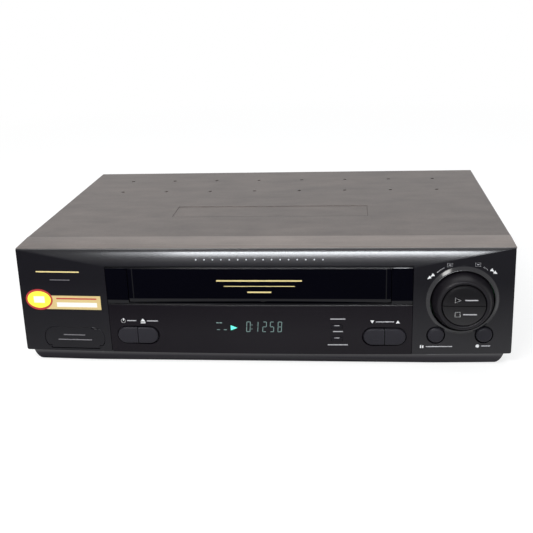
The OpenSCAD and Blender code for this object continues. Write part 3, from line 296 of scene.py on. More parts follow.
# ---------------------------------------------------------------- mesh making
def rounded(bm, edges, by, steps):
    bmesh.ops.bevel(bm, geom=edges, offset=by, segments=steps, profile=0.5, affect="EDGES", material=-1)


def block(x0, x1, y0, y1, z0, z1, edge=0.0):
    """Box with rounded edges."""
    bm = bmesh.new()
    bmesh.ops.create_cube(bm, size=1.0)
    bmesh.ops.scale(bm, vec=(x1 - x0, y1 - y0, z1 - z0), verts=bm.verts)
    bmesh.ops.translate(bm, vec=((x0 + x1) / 2, (y0 + y1) / 2, (z0 + z1) / 2), verts=bm.verts)
    if edge:
        rounded(bm, list(bm.edges), edge, 3)
    return bm


def slice_at(bm, point, across, part=()):
    """New edges where a plane cuts a shape, or a part of it."""
    geom = list(part) or bm.verts[:] + bm.edges[:] + bm.faces[:]
    bmesh.ops.bisect_plane(bm, geom=geom, dist=1e-5, plane_co=point, plane_no=across)


def extruded(bm, faces):
    """Extrudes faces without moving them and gives the new vertices."""
    grown = bmesh.ops.extrude_face_region(bm, geom=faces)
    return [v for v in grown["geom"] if isinstance(v, bmesh.types.BMVert)]


def spun(profile, at, along="Y", steps=96, closed=True):
    """Turned shape: profile holds (radius, distance along the axis), from one end to the other."""
    bm = bmesh.new()
    ring = [bm.verts.new((r, 0, h)) for r, h in profile]
    edges = [bm.edges.new(pair) for pair in zip(ring, ring[1:])]
    if closed:
        edges.append(bm.edges.new((ring[-1], ring[0])))
    bmesh.ops.spin(bm, geom=ring + edges, cent=(0, 0, 0), axis=(0, 0, 1), angle=2 * math.pi,
                   steps=steps, use_merge=True)
    bmesh.ops.remove_doubles(bm, verts=bm.verts, dist=1e-4)
    bmesh.ops.recalc_face_normals(bm, faces=bm.faces)
    turn = {"Y": Matrix.Rotation(math.radians(-90), 4, "X"), "X": Matrix.Rotation(math.radians(90), 4, "Y")}
    bmesh.ops.transform(bm, matrix=Matrix.Translation(at) @ turn[along], verts=bm.verts)
    return bm


def rod(r, start, end, at, steps=24):
    """Round bar along X."""
    return spun([(0, start), (r, start), (r, end), (0, end)], at, "X", steps, False)


def prism(outline, y0, y1, edge=0.0, steps=2):
    """Flat shape in X and Z, as a bar along Y whose front edge at y0 is rounded."""
    bm = bmesh.new()
    face = bm.faces.new([bm.verts.new((x, y0, z)) for x, z in outline])
    bmesh.ops.translate(bm, vec=(0, y1 - y0, 0), verts=extruded(bm, [face]))
    bmesh.ops.recalc_face_normals(bm, faces=bm.faces)
    if edge:
        rim = [e for e in bm.edges if all(abs(v.co.y - y0) < 1e-6 for v in e.verts)]
        rounded(bm, rim, edge, steps)
    return bm


def polar(cx, cz, r, angle):
    """A place at radius r and an angle in degrees round a middle."""
    return cx + r * math.cos(math.radians(angle)), cz + r * math.sin(math.radians(angle))


def arc(cx, cz, r, a0, a1, n):
    return [polar(cx, cz, r, a0 + (a1 - a0) * i / n) for i in range(n + 1)]


def oval(x, z, w, h):
    """Outline of a bar with round ends."""
    r = h / 2
    return arc(x + w / 2 - r, z, r, -90, 90, 14) + arc(x - w / 2 + r, z, r, 90, 270, 14)


def pill(half, z0, z1, r, lug, lug_z):
    """Outline with round corners and a step cut into each lower one for the hinge."""
    low = 180 + math.degrees(math.asin((z0 + r - lug_z) / r))
    left = [(-half + lug, z0), (-half + lug, lug_z)]
    left += arc(-half + r, z0 + r, r, low, 180, 12)
    left += arc(-half + r, z1 - r, r, 180, 90, 16)
    return left + [(-x, z) for x, z in reversed(left)]


def held_mesh(shape):
    """Hands a shape over to a mesh of its own."""
    held = bpy.data.meshes.new("held")
    shape.to_mesh(held)
    shape.free()
    return held


def joined(*shapes):
    """Several shapes in one mesh."""
    bm = bmesh.new()
    for shape in shapes:
        held = held_mesh(shape)
        bm.from_mesh(held)
        bpy.data.meshes.remove(held)
    return bm


def held_object(shape):
    """Puts a shape in the scene for a modifier to work on."""
    o = bpy.data.objects.new("held", held_mesh(shape))
    bpy.context.scene.collection.objects.link(o)
    return o


def outcome(*held):
    """The first object's shape after its modifiers; all the objects are taken away."""
    seen = held[0].evaluated_get(bpy.context.evaluated_depsgraph_get())
    out = bmesh.new()
    out.from_mesh(seen.to_mesh())
    seen.to_mesh_clear()
    for o in held:
        mesh = o.data
        bpy.data.objects.remove(o)
        bpy.data.meshes.remove(mesh)
    return out


def carved(bm, tool, how="DIFFERENCE"):
    """bm with the tool's shape cut out of it, added to it or kept in it."""
    body, cutter = held_object(bm), held_object(tool)
    cut = body.modifiers.new("cut", "BOOLEAN")
    cut.operation = how
    cut.object = cutter
    cut.solver = "EXACT"
    return outcome(body, cutter)


def bowed(x0, x1, z0, z1, back, edge=0.4, corner=0.5):
    """Plate whose front follows the moulded front, with rounded edges and a flat back."""
    cell_x, cell_z = 4.8, 3.0
    bm = bmesh.new()
    nx, nz = max(2, round((x1 - x0) / cell_x)), max(2, round((z1 - z0) / cell_z))
    bmesh.ops.create_grid(bm, x_segments=nx, y_segments=nz, size=0.5)
    upright = Matrix.Rotation(math.radians(90), 4, "X")
    spread = Matrix.Diagonal((x1 - x0, z1 - z0, 1, 1))
    middle = Matrix.Translation(((x0 + x1) / 2, 0, (z0 + z1) / 2))
    bmesh.ops.transform(bm, matrix=middle @ upright @ spread, verts=bm.verts)
    for near in (edge * k for k in (0.08, 0.3, 0.6, 1.0)):
        slice_at(bm, (x0 + near, 0, 0), (1, 0, 0))
        slice_at(bm, (x1 - near, 0, 0), (1, 0, 0))
        slice_at(bm, (0, 0, z0 + near), (0, 0, 1))
        slice_at(bm, (0, 0, z1 - near), (0, 0, 1))
    # a plate that reaches the line where the brow begins gets an edge along it
    for side in (-1, 1):
        if (x1 if side > 0 else -x0) > 112 and z1 > 78:
            part = [f for f in bm.faces if f.calc_center_median().x * side > 96]
            reach = set(part) | {e for f in part for e in f.edges} | {v for f in part for v in f.verts}
            slice_at(bm, (0, 0, EDGE_Z - BROW), (-side * (BROW / HALF), 0, 1), reach)
    rear = set(extruded(bm, bm.faces[:]))
    for v in bm.verts:
        deep = min(max(inside(v.co.x, v.co.z, x0, x1, z0, z1, corner), 0.0), edge)
        drop = edge - math.sqrt(max(0.0, edge ** 2 - (edge - deep) ** 2))
        v.co.y = back if v in rear else front(v.co.x, v.co.z) + drop
    bmesh.ops.recalc_face_normals(bm, faces=bm.faces)
    return bm


def on_bow(bm, x, ahead=0.0):
    """Sets a shape drawn about the origin on the bowed front at x, turned with the bow."""
    turned = Matrix.Rotation(math.atan(2 * BULGE * x / HALF ** 2), 4, "Z")
    bmesh.ops.transform(bm, matrix=Matrix.Translation((x, -bow(x) - ahead, 0)) @ turned, verts=bm.verts)
    return bm


def on_crease(v):
    """Whether a vertex lies on the line where the brow begins."""
    over = v.co.z - (EDGE_Z - BROW + BROW / HALF * abs(v.co.x))
    return abs(over) < 0.02 and abs(v.co.x) > 90 and abs(v.co.y - front(v.co.x, v.co.z)) < 0.6


def piece(name, bm, finish, body="chassis", stands_for=(), limit=40, crease=False,
          flat_walls=False):
    """Writes a shape into the scene, in metres, in the frame's place."""
    bmesh.ops.remove_doubles(bm, verts=bm.verts, dist=1e-4)
    bmesh.ops.dissolve_degenerate(bm, dist=1e-4, edges=bm.edges)
    bmesh.ops.recalc_face_normals(bm, faces=bm.faces)
    for f in bm.faces:
        f.smooth = not flat_walls or max(abs(c) for c in f.normal) < 0.9995
    for e in bm.edges:
        bent = len(e.link_faces) == 2 and e.calc_face_angle(0) > math.radians(limit)
        e.smooth = not (bent or crease and all(on_crease(v) for v in e.verts))
    moved = Matrix.Scale(0.001, 4) @ Matrix.Translation((0, EDGE_BACK, 0))
    bmesh.ops.transform(bm, matrix=moved, verts=bm.verts)
    mesh = bpy.data.meshes.new(name)
    bm.to_mesh(mesh)
    bm.free()
    o = bpy.data.objects.new(name, mesh)
    bpy.context.scene.collection.objects.link(o)
    mesh.materials.append(finish.made)
    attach(o, body)
    if stands_for:
        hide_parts(*stands_for)


def softened(node, edge, finish, shortest=0.0, shaped=None):
    """A copy of a CAD solid with its edges eased, but for those under the shortest length."""
    limit = 32
    bm = bmesh.new()
    bm.from_mesh(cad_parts[node].data)
    moved = Matrix.Translation((0, -EDGE_BACK, 0)) @ Matrix.Scale(1000, 4)
    bmesh.ops.transform(bm, matrix=moved, verts=bm.verts)
    bmesh.ops.remove_doubles(bm, verts=bm.verts, dist=1e-3)
    if shaped:
        shaped(bm)
    weight = bm.edges.layers.float.new("bevel_weight_edge")
    for e in bm.edges:
        bent = len(e.link_faces) == 2 and e.calc_face_angle(0) > math.radians(limit)
        e[weight] = float(bent and e.calc_length() > shortest)
    o = held_object(bm)
    ease = o.modifiers.new("ease", "BEVEL")
    ease.width = edge
    ease.segments = 2
    ease.limit_method = "WEIGHT"
    ease.use_clamp_overlap = True
    ease.miter_outer = "MITER_ARC"
    piece(node + "_finished", outcome(o), finish, "chassis", (node,), limit, flat_walls=True)


def dress(finish, *names):
    """Gives CAD solids their finish."""
    for name in names:
        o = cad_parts[name]
        if not o.data.materials:
            o.data.materials.append(finish.made)
        for put in o.material_slots:
            put.material = finish.made


# ---------------------------------------------------------------- finishes
def cover_finish():
    """Satin paint with fine speckle; the front strip of the top has a painted sheen, lighter most at the
    right, and is a little smoother.
    """
    f = Finish("cover_paint", tone(92, 88, 86), 0.46, Specular_IOR_Level=0.3)
    cloud = f.noise(70, 3)
    speckle = f.noise(1.9, 4, 0.75)
    streak = f.noise(1.6, 4, 0.6, scale=(0.04, 1, 1))
    smear = f.noise(16, 4, 0.6, scale=(0.4, 1, 1))
    on_strip = f.axis("Y").below(STRIP_BACK) * f.axis("Z").above(EDGE_Z - 2)
    # painted sheen: the strip's colour is lifted, most at the right, where the slightly bent strip catches
    # more light; its roughness is lowered too
    strip = on_strip * (f.axis("X").rise(-HALF, 0) * 0.7 + 0.3)
    shade = cloud * 0.3 + smear * 0.6 + speckle * 0.5 + strip * (0.28 + streak * 0.36)
    f.set("Base Color", f.mix(tone(62, 57, 56), tone(124, 115, 110), shade - 0.4))
    f.set("Roughness", pick(0.4, 0.54, speckle * 0.6 + cloud * 0.4) - strip * 0.06)
    return f.bump(speckle, 0.03)


def bezel_finish():
    """Satin black, glossy on the brow and on the rim round the dial."""
    f = moulded("bezel_black", tone(15, 14, 19), 0.3, 0.3, 0.003, 0.06)
    x, z = f.axis("X"), f.axis("Z")
    over_crease = z - (abs(x) * (BROW / HALF) + (EDGE_Z - BROW))
    beside, over = x - DIAL[0], z - DIAL[1]
    from_dial = (beside * beside + over * over) ** 0.5
    on_brow = over_crease.rise(-0.5, 1.5) * (z.rise(80.5, 89) * 0.92 + 0.08)
    brow_gloss = on_brow * (x.rise(-HALF, -70) * 0.65 + 0.35)
    rim_gloss = from_dial.rise(27.2, 26.7) * 0.85
    handled = z.rise(66, 12) * (x.rise(-HALF, HALF) * 0.3 + 0.26) + x.rise(-HALF, HALF) * 0.08
    return glossed(f, brow_gloss.most(rim_gloss).most(handled), 0.13)


def skirt_finish():
    """Satin black that catches the light along its top."""
    f = moulded("skirt_black", tone(24, 22, 27), 0.36, 0.35, 0.006, 0.05)
    x, z = f.axis("X"), f.axis("Z")
    return glossed(f, z.rise(1.0, 8.6) * 0.5 + z.rise(5.6, 8.0) * 0.9 + x.rise(60, HALF) * 0.3, 0.3)


cover_paint = cover_finish()
bezel_black = bezel_finish()
skirt_black = skirt_finish()
window_black = polished("window_black", tone(3, 3, 8), 0.06, 0.01)
sheen(window_black, 0.1, WIN[3], WIN[2])
flap_black = polished("flap_black", tone(3, 3, 8), 0.05, 0.01)
sheen(flap_black, 0.1, FLAP[3], FLAP[2], 0.7, (FLAP[0] + CREASE, FLAP[1] - CREASE))
strip_grey = polished("strip_grey", tone(22, 21, 24), 0.2, 0.06)
glossed(strip_grey, strip_grey.axis("X").rise(-110, 50) * 0.85 + 0.03, 0.15)
fascia_smoke = polished("fascia_smoke", tone(17, 14, 19), 0.16, 0.03)
fascia_gloss = fascia_smoke.axis("Z").rise(50, 26) * 0.14 + fascia_smoke.axis("X").rise(-119, 0) * 0.09
glossed(fascia_smoke, fascia_gloss, 0.16)
button_black = moulded("button_black", tone(33, 32, 37), 0.3, 0.3, 0.003, 0.12)
small_black = moulded("small_black", tone(22, 20, 25), 0.3, 0.3, 0.003, 0.1)
ring_black = moulded("ring_black", tone(17, 15, 19), 0.34, 0.3, 0.004, 0.16)
cap_black = moulded("cap_black", tone(17, 16, 18), 0.34, 0.3, 0.003, 0.07)
glossed(cap_black, cap_black.axis("Z").rise(DIAL[1] + 8, DIAL[1] - 14) * 0.5, 0.3)
symbol_grey = printed("symbol_grey", tone(226, 226, 227))
line_grey = printed("line_grey", tone(176, 175, 179))
dull_print = printed("dull_print", tone(110, 108, 112))
gold_print = printed("gold_print", tone(222, 202, 138), 0.38)
brow_print = printed("brow_print", tone(190, 194, 200), 0.45)
label_gold = printed("label_gold", tone(206, 182, 122), 0.3)
label_red = printed("label_red", tone(170, 22, 28), 0.4)
label_yellow = printed("label_yellow", tone(250, 240, 60), 0.42)
label_white = printed("label_white", tone(236, 232, 224), 0.45)
glow_teal = Finish("glow_teal", tone(70, 190, 165), 0.4, Emission_Color=tone(95, 232, 205),
                   Emission_Strength=0.75)
glow_digit = Finish("glow_digit", tone(80, 100, 98), 0.4, Emission_Color=tone(120, 150, 146),
                    Emission_Strength=0.35)
rear_black = moulded("rear_black", tone(58, 57, 58), 0.5, 0.5, 0.02, 0.4)
foot_rubber = rubbery("foot_rubber", tone(34, 33, 33))
screw_black = sheet_metal("screw_black", tone(60, 58, 56), 0.35)
zinc_sheet = sheet_metal("zinc_sheet", tone(188, 190, 186), 0.36, (1, 0.05, 1), True)
tin_sheet = sheet_metal("tin_sheet", tone(206, 207, 210), 0.28, (1, 0.05, 1))
jack_plastic = moulded("jack_plastic", tone(30, 30, 31), 0.45, 0.4, 0.01)
board_green = moulded("board_green", tone(34, 92, 52), 0.35, 1.2, 0.02)
board_brown = moulded("board_brown", tone(150, 112, 62), 0.5, 1.2, 0.02)
tube_glass = polished("tube_glass", tone(70, 84, 84), 0.06)
switch_black = moulded("switch_black", tone(36, 36, 37), 0.5)
switch_white = moulded("switch_white", tone(224, 222, 214), 0.42)
core_brown = sheet_metal("core_brown", tone(92, 80, 66), 0.5, (1, 1, 0.05))
sleeve_blue = polished("sleeve_blue", tone(36, 46, 104), 0.25)
aluminium = sheet_metal("aluminium", tone(200, 200, 203), 0.3, (1, 1, 0.05))
drum_metal = turned_metal("drum_metal", tone(214, 214, 217), 0.16)
reel_plastic = moulded("reel_plastic", tone(34, 34, 35), 0.4)
steel = turned_metal("steel", tone(190, 190, 190), 0.2)
nickel = turned_metal("nickel", tone(205, 200, 190), 0.2)
signal_yellow = moulded("signal_yellow", tone(226, 190, 34), 0.35)
signal_white = moulded("signal_white", tone(228, 226, 220), 0.35)
signal_red = moulded("signal_red", tone(178, 34, 30), 0.35)
stator_blue = moulded("stator_blue", tone(30, 70, 120), 0.4, 1.0, 0.02)
rubber = rubbery("rubber", tone(30, 29, 29))
head_plastic = moulded("head_plastic", tone(130, 130, 134), 0.4)
nylon = moulded("nylon", tone(226, 220, 200), 0.42, 0.5, 0.008, Subsurface_Weight=0.05)

# ---------------------------------------------------------------- cabinet
TOP_R, LOW_R = 0.4, 1.6         # corners of the bezel's outline, whose sides lean in a little upwards
corner_x = HALF - LOW_R
corners = ((corner_x, EDGE_Z - TOP_R, TOP_R, 0), (-corner_x, EDGE_Z - TOP_R, TOP_R, 90),
           (-corner_x, BOTTOM_Z + LOW_R, LOW_R, 180), (corner_x, BOTTOM_Z + LOW_R, LOW_R, 270))
bezel = bowed(-HALF, HALF, BOTTOM_Z, EDGE_Z, 3.0, edge=0.4, corner=1.2)
bezel = carved(bezel, block(-HALF, HALF, 2.9, 14, BOTTOM_Z, EDGE_Z), "UNION")
outline = [p for cx, cz, r, a in corners for p in arc(cx, cz, r, a, a + 90, 5)]
bezel = carved(bezel, prism(outline, -8, 16), "INTERSECT")
# hollow back, rebate for the cover, opening for the surround and the fascia
bezel = carved(bezel, block(-HALF + 2.4, HALF - 2.4, 3.0, 20, BOTTOM_Z + 2, EDGE_Z - 3.2))
bezel = carved(bezel, block(-HALF + 0.49, HALF - 0.49, 1.6, 20, EDGE_Z - 1.05, EDGE_Z + 2))
gap = 0.22
bezel = carved(bezel, block(WIN[0] - gap, WIN[1] + gap, -8, 4, BOTTOM_Z + 2, WIN[3] + 0.7))
bezel = carved(bezel, block(WIN[0] - gap, WIN[1] + gap, -8, PLATE_BACK, BOTTOM_Z - 1, WIN[3] + 0.68))
# raised rim round the dial, the dial's well and those of the round buttons
collar = spun([(21, 0.7), (27.5, 0.7), (27.3, 0.0), (26.9, -0.25), (25.1, -1.85), (24.75, -2.1),
               (24.4, -2.2), (21, -2.2)], (0, 0, DIAL[1]), steps=128)
bezel = carved(bezel, on_bow(collar, DIAL[0]), "UNION")
well = spun([(0, -9), (24.5, -9), (24.05, -3.5), (24, -3.3), (24, 4), (0, 4)],
            (DIAL[0], 0, DIAL[1]), steps=128, closed=False)
bezel = carved(bezel, well)
for x in ROUND_X:
    y = front(x, ROUND_Z)
    well = spun([(0, y - 3), (7.4, y - 3), (7.2, y + 0.02), (6.9, y + 0.3), (6.8, y + 0.8), (6.8, 2.6),
                 (6.45, 2.7), (6.45, 5), (0, 5)], (x, 0, ROUND_Z), closed=False)
    bezel = carved(bezel, well)
# jack bay with its pin holes and the curved line pressed in above each hinge
bezel = carved(bezel, on_bow(prism(pill(24.65, BAY_LOW, BAY_TOP, 8.2, 4.8, 13.2), -2, 3.2), JACK_X))
bezel = carved(bezel, block(-173.7, -124.4, 0.5, 4, BAY_LOW, BAY_TOP))
bezel = carved(bezel, on_bow(rod(0.65, -26.65, 26.65, (0, 1.1, PIN_Z)), JACK_X))
for side in (-1, 1):
    groove = arc(-16.45, 18.7, 8.3, 215, 270, 12) + arc(-16.45, 18.7, 8.02, 270, 215, 12)
    bezel = carved(bezel, on_bow(prism([(side * x, z) for x, z in groove], -1, 0.35), JACK_X))
piece("bezel", bezel, bezel_black, stands_for=("front_bezel",), crease=True)


def round_ends(bm):
    """Makes the straight raked ends of the skirt bulge."""
    tall = BOTTOM_Z - SKIRT_LOW
    for part in (0.08, 0.18, 0.3, 0.45, 0.65, 0.85):
        slice_at(bm, (0, 0, SKIRT_LOW + tall * part), (0, 0, 1))
    for v in bm.verts:
        part = min(max((v.co.z - SKIRT_LOW) / tall, 0), 1)
        if abs(v.co.x) > SKIRT_END + SKIRT_RAKE * part - 0.4:
            bulged = 0.35 * part + 0.65 * math.sqrt(1 - (1 - part) ** 2)
            v.co.x = math.copysign(SKIRT_END - 1.4 + (SKIRT_RAKE + 0.9) * bulged, v.co.x)


softened("top_cover", 0.45, cover_paint, shortest=30)
softened("front_skirt", 0.5, skirt_black, shaped=round_ends)
dress(rear_black, "rear_panel")
dress(foot_rubber, "rubber_feet")
dress(screw_black, "cover_screws")
dress(zinc_sheet, "bottom_pan", "deck_plate", "carriage_brackets", "cassette_holder")

# ---------------------------------------------------------------- cassette door
left, right, low, high = WIN
surround = bowed(left, right, low, high, PLATE_BACK, edge=0.35, corner=0.4)
slice_at(surround, (0, 0, low + FOOT), (0, 0, 1))
for v in surround.verts:
    if v.co.z < low + FOOT - 0.1 and v.co.y < -0.6:
        v.co.y += (low + FOOT - v.co.z) * FOOT_SLOPE
surround = carved(surround, block(left + 4, right - 1, -0.6, 8, low, high), "UNION")
surround = carved(surround, block(left + 4, right - 1, 3.2, 8, low, high + 1.6), "UNION")
left, right, low, high = FLAP
surround = carved(surround, block(left - 0.3, right + 0.3, -8, 9, low - 0.3, high + 0.25))
surround = carved(surround, rod(1.05, left - 3, right + 3, (0, -2.0, 77.4), 32))
piece("surround", surround, window_black, stands_for=("door_surround",))
piece("trim", bowed(WIN[0], WIN[1], WIN[2] - TRIM_H, WIN[2], PLATE_BACK, edge=0.3, corner=0.3), strip_grey,
      stands_for=("trim_strip",))

flap = prism([(left, low), (right, low), (right, high), (left, high)], FLAP_FACE, FLAP_REAR, 0.3, 3)
slice_at(flap, (left + CREASE, 0, 0), (1, 0, 0))
slice_at(flap, (right - CREASE, 0, 0), (1, 0, 0))
slice_at(flap, (0, 0, low + FOOT), (0, 0, 1))
for v in flap.verts:
    if v.co.y < -2:
        v.co.y += (max(0, low + FOOT - v.co.z) * FOOT_SLOPE
                   + max(0, left + CREASE - v.co.x, v.co.x - right + CREASE) * CREASE_SLOPE)
flap = carved(flap, block(0.3, 3.7, -4, -2.25, 50, 53.2, 0.15))
piece("flap", flap, flap_black, "cassette_flap", ("cassette_flap",))

# ---------------------------------------------------------------- fascia and its buttons
WELL_W, WELL_H = 33.3, 14.7     # the narrow end of the sloping lip round an oval pair
LIP_W, LIP_H = 35.5, 16.9       # its wide end
fascia = bowed(WIN[0], WIN[1], BOTTOM_Z, WIN[2] - TRIM_H, PLATE_BACK, edge=0.35, corner=0.4)
for x in PAIR_X:
    fascia = carved(fascia, prism(oval(x, PAIR_Z, 33.5, 14.9), -9, 3))
    y = front(x, PAIR_Z)
    lip = prism(oval(x, PAIR_Z, LIP_W, LIP_H), y - 1, y + 0.45)
    for v in lip.verts:
        if v.co.y > y:
            v.co.x = x + (v.co.x - x) * WELL_W / LIP_W
            v.co.z = PAIR_Z + (v.co.z - PAIR_Z) * WELL_H / LIP_H
    fascia = carved(fascia, lip)
for z in (MENU_Z, SET_Z):
    fascia = carved(fascia, block(SMALL_X - 4.25, SMALL_X + 4.25, -9, 3, z - 1.75, z + 1.75))
piece("fascia", fascia, fascia_smoke, stands_for=("lower_fascia",))


def button(name, bm, finish):
    piece(name, bm, finish, name + "_button", (name + "_button",))


def stem(r, x, z):
    """Round stem behind a button, with its end eased."""
    profile = [(0, 0.5), (r, 0.5), (r, STEM_END - 0.2), (r - 0.2, STEM_END), (0, STEM_END)]
    return spun(profile, (x, 0, z), steps=24, closed=False)


def span(x, side, near, far):
    """Left and right ends of what reaches from near to far on one side of x."""
    return (x + near, x + far) if side > 0 else (x - far, x - near)


def pair_half(name, x, side):
    """Half of an oval pair, softly crowned, with its flange and stem."""
    y = front(x, PAIR_Z) - 1.1
    cap = prism(oval(x, PAIR_Z, 32, 13.4), y, FLANGE_BACK, 1.1, 4)
    cap = carved(cap, block(*span(x, side, 0.25, 20), -9, 3, 14, 33, 0.25), "INTERSECT")
    flange = block(*span(x, side, 0.25, 17), -0.45, FLANGE_BACK, 15.7, 31.1, 0.15)
    shapes = [cap, flange, stem(1.6, x + side * 8, PAIR_Z)]
    if name == "channel_down":
        shapes.append(block(x - 8.7, x - 4.1, y - 0.2, y + 1, 20.9, 21.5, 0.15))
    button(name, joined(*shapes), button_black)


pair_half("power", PAIR_X[0], -1)
pair_half("eject", PAIR_X[0], 1)
pair_half("channel_down", PAIR_X[1], -1)
pair_half("channel_up", PAIR_X[1], 1)
for name, z in (("menu", MENU_Z), ("set", SET_Z)):
    y = front(SMALL_X, z) - 0.6
    cap = block(SMALL_X - 4, SMALL_X + 4, y, FLANGE_BACK, z - 1.5, z + 1.5, 0.35)
    flange = block(SMALL_X - 5, SMALL_X + 5, -0.45, FLANGE_BACK, z - 2.5, z + 2.5, 0.15)
    button(name, joined(cap, flange, stem(1.4, SMALL_X, z)), small_black)
for name, x in zip(("pause", "record"), ROUND_X):
    y = front(x, ROUND_Z) - 1.1
    cap = spun([(0, y), (3.0, y + 0.05), (4.6, y + 0.2), (5.6, y + 0.55), (6.1, y + 1.1), (6.2, y + 1.8),
                (6.2, 3.05), (7.2, 3.05), (7.2, STEM_END), (0, STEM_END)], (x, 0, ROUND_Z), steps=64,
               closed=False)
    button(name, cap, button_black)

# ---------------------------------------------------------------- dial
dx, dz = DIAL
ring = spun([(16.3, 4.6), (23.2, 4.6), (23.2, -1.2), (23.05, -2.2), (22.6, -4.4), (21.9, -6.8), (20.9, -9.2),
             (19.9, -11.1), (19.2, -12.1), (18.7, -12.55), (18.2, -12.7), (17.3, -12.7), (16.7, -12.5),
             (16.4, -12.2), (16.3, -11.8)], (dx, 0, dz), steps=128)
piece("ring", ring, ring_black, "shuttle_ring", ("shuttle_ring",))
for name, z0, z1 in (("play", dz + 0.25, dz + 20), ("stop", dz - 20, dz - 0.25)):
    cap = spun([(0, CAP_FACE), (12.5, -13.43), (14.4, -13.34), (15.2, -13.12), (15.7, -12.7), (15.9, -12.1),
                (15.9, STEM_END - 0.2), (15.7, STEM_END), (0, STEM_END)], (dx, 0, dz), closed=False)
    button(name, carved(cap, block(dx - 20, dx + 20, -20, 8, z0, z1, 0.2), "INTERSECT"), cap_black)

# ---------------------------------------------------------------- jack door
door = prism(pill(24.45, 11, 28.7, 8, 4.8, 13.5), 0, 1.8, 0.35, 3)
notch = spun([(0, -1), (5.1, -1), (4.9, 0.2), (4.3, 0.75), (3.0, 1.0), (0, 1.0)], (17.45, 0, 31.7),
             steps=48, closed=False)
door = joined(carved(door, notch), rod(0.6, -26.05, 26.05, (0, 0.9, PIN_Z)))
piece("front_door", on_bow(door, JACK_X, -0.2), bezel_black, "jack_door", ("jack_door",))

# ---------------------------------------------------------------- the rest of the solids
dress(jack_plastic, "front_jacks", "cord_gland")
dress(nickel, "rear_jacks")


def jack_rings(name, x, zs, y, back, finish):
    """Coloured washers and centre insulators of phono jacks whose shells end at y."""
    shapes = []
    out = 1 if back > y else -1
    face = back - out * 1.0
    for z in zs:
        washer = [(4.2, back), (5.6, back), (5.6, back - out * 0.7), (5.3, face), (4.2, face)]
        centre = [(1.65, y), (3.3, y), (3.3, y - out * 0.25), (1.65, y - out * 0.25)]
        shapes += [spun(washer, (x, 0, z), steps=48), spun(centre, (x, 0, z), steps=32)]
    piece(name, joined(*shapes), finish)


jack_rings("video_jack_rings", 118, (30, 44), SHELL_END, PANEL_BACK, signal_yellow)
jack_rings("left_jack_rings", 132, (30, 44), SHELL_END, PANEL_BACK, signal_white)
jack_rings("right_jack_rings", 146, (30, 44), SHELL_END, PANEL_BACK, signal_red)
jack_rings("front_video_ring", JACK_X - 15, (BAY_Z,), 5.9, 8.0, signal_yellow)
jack_rings("front_left_ring", JACK_X, (BAY_Z,), 5.9, 8.0, signal_white)
jack_rings("front_right_ring", JACK_X + 15, (BAY_Z,), 5.9, 8.0, signal_red)
dress(board_green, "front_board", "main_board")
dress(board_brown, "power_board")
dress(tube_glass, "display_tube")
dress(switch_black, "tact_switches", "carriage_slider", "clutch_pulley")
dress(switch_white, "channel_switch")
dress(tin_sheet, "tuner_module", "loading_motor")
dress(core_brown, "transformer")
dress(sleeve_blue, "capacitors")
dress(aluminium, "heat_sink")
dress(drum_metal, "lower_drum", "upper_drum", "supply_guide", "take_up_guide")
dress(reel_plastic, "supply_reel", "take_up_reel")
dress(steel, "capstan", "pinch_arm", "tension_arm", "audio_head", "deck_screws")
dress(stator_blue, "capstan_motor")
dress(rubber, "pinch_roller", "drive_belt")
dress(head_plastic, "erase_head")
dress(nylon, "motor_pinion", "cam_gear", "carriage_gear")

# ---------------------------------------------------------------- printed marks
MARK_STEP = 5       # print is cut this often, to follow the bow


def mark(name, outlines, y, finish, body="chassis", thick=0.04):
    """Thin print in X and Z on a face at y; y may be a function of place."""
    shapes = []
    for outline in outlines:
        shape = prism(outline, -thick, 0.02)
        x0, x1 = min(x for x, z in outline), max(x for x, z in outline)
        for i in range(1, math.ceil((x1 - x0) / MARK_STEP)):
            slice_at(shape, (x0 + MARK_STEP * i, 0, 0), (1, 0, 0))
        for v in shape.verts:
            v.co.y += y(v.co.x, v.co.z) if callable(y) else y
        shapes.append(shape)
    piece(name, joined(*shapes), finish, body)


def outline_of(points, w):
    """Frame of width w inside a convex outline, as quadrilaterals."""
    cx, cz = sum(p[0] for p in points) / len(points), sum(p[1] for p in points) / len(points)
    inner = []
    for x, z in points:
        d = math.hypot(x - cx, z - cz)
        inner.append((x + (cx - x) * w / d, z + (cz - z) * w / d))
    n = len(points)
    return [[points[i], points[(i + 1) % n], inner[(i + 1) % n], inner[i]] for i in range(n)]


def bar(x0, x1, z0, z1):
    return [(x0, z0), (x1, z0), (x1, z1), (x0, z1)]


def line(x0, x1, z, wide=0.7):
    return bar(x0, x1, z - wide / 2, z + wide / 2)


def turned_by(points, cx, cz, angle):
    c, s = math.cos(math.radians(angle)), math.sin(math.radians(angle))
    return [(cx + (x - cx) * c - (z - cz) * s, cz + (x - cx) * s + (z - cz) * c) for x, z in points]


def pointer(x, z, w, h):
    """Triangle that points to the right, or to the left when w is negative."""
    return [(x - w / 2, z - h / 2), (x + w / 2, z), (x - w / 2, z + h / 2)]


def ring_line(cx, cz, r0, r1, turns):
    """Curved line between two radii, as short straight pieces from turn to turn."""
    return [[polar(cx, cz, r0, a), polar(cx, cz, r0, b), polar(cx, cz, r1, b), polar(cx, cz, r1, a)]
            for a, b in zip(turns, turns[1:])]


def arc_line(a0, a1):
    """Curved line above the dial, between two angles."""
    return ring_line(dx, dz, 29.2, 29.9, [a0 + (a1 - a0) * i / 8 for i in range(9)])


def framed(angle):
    """Small frame with a bar in it, above the dial."""
    w, h = 4.2, 2.9
    x, z = polar(dx, dz, 29.9, angle)
    frame_bars = outline_of(bar(x - w / 2, x + w / 2, z - h / 2, z + h / 2), 0.6)
    return frame_bars + [line(x - w / 5, x + w / 5, z, 0.5)]


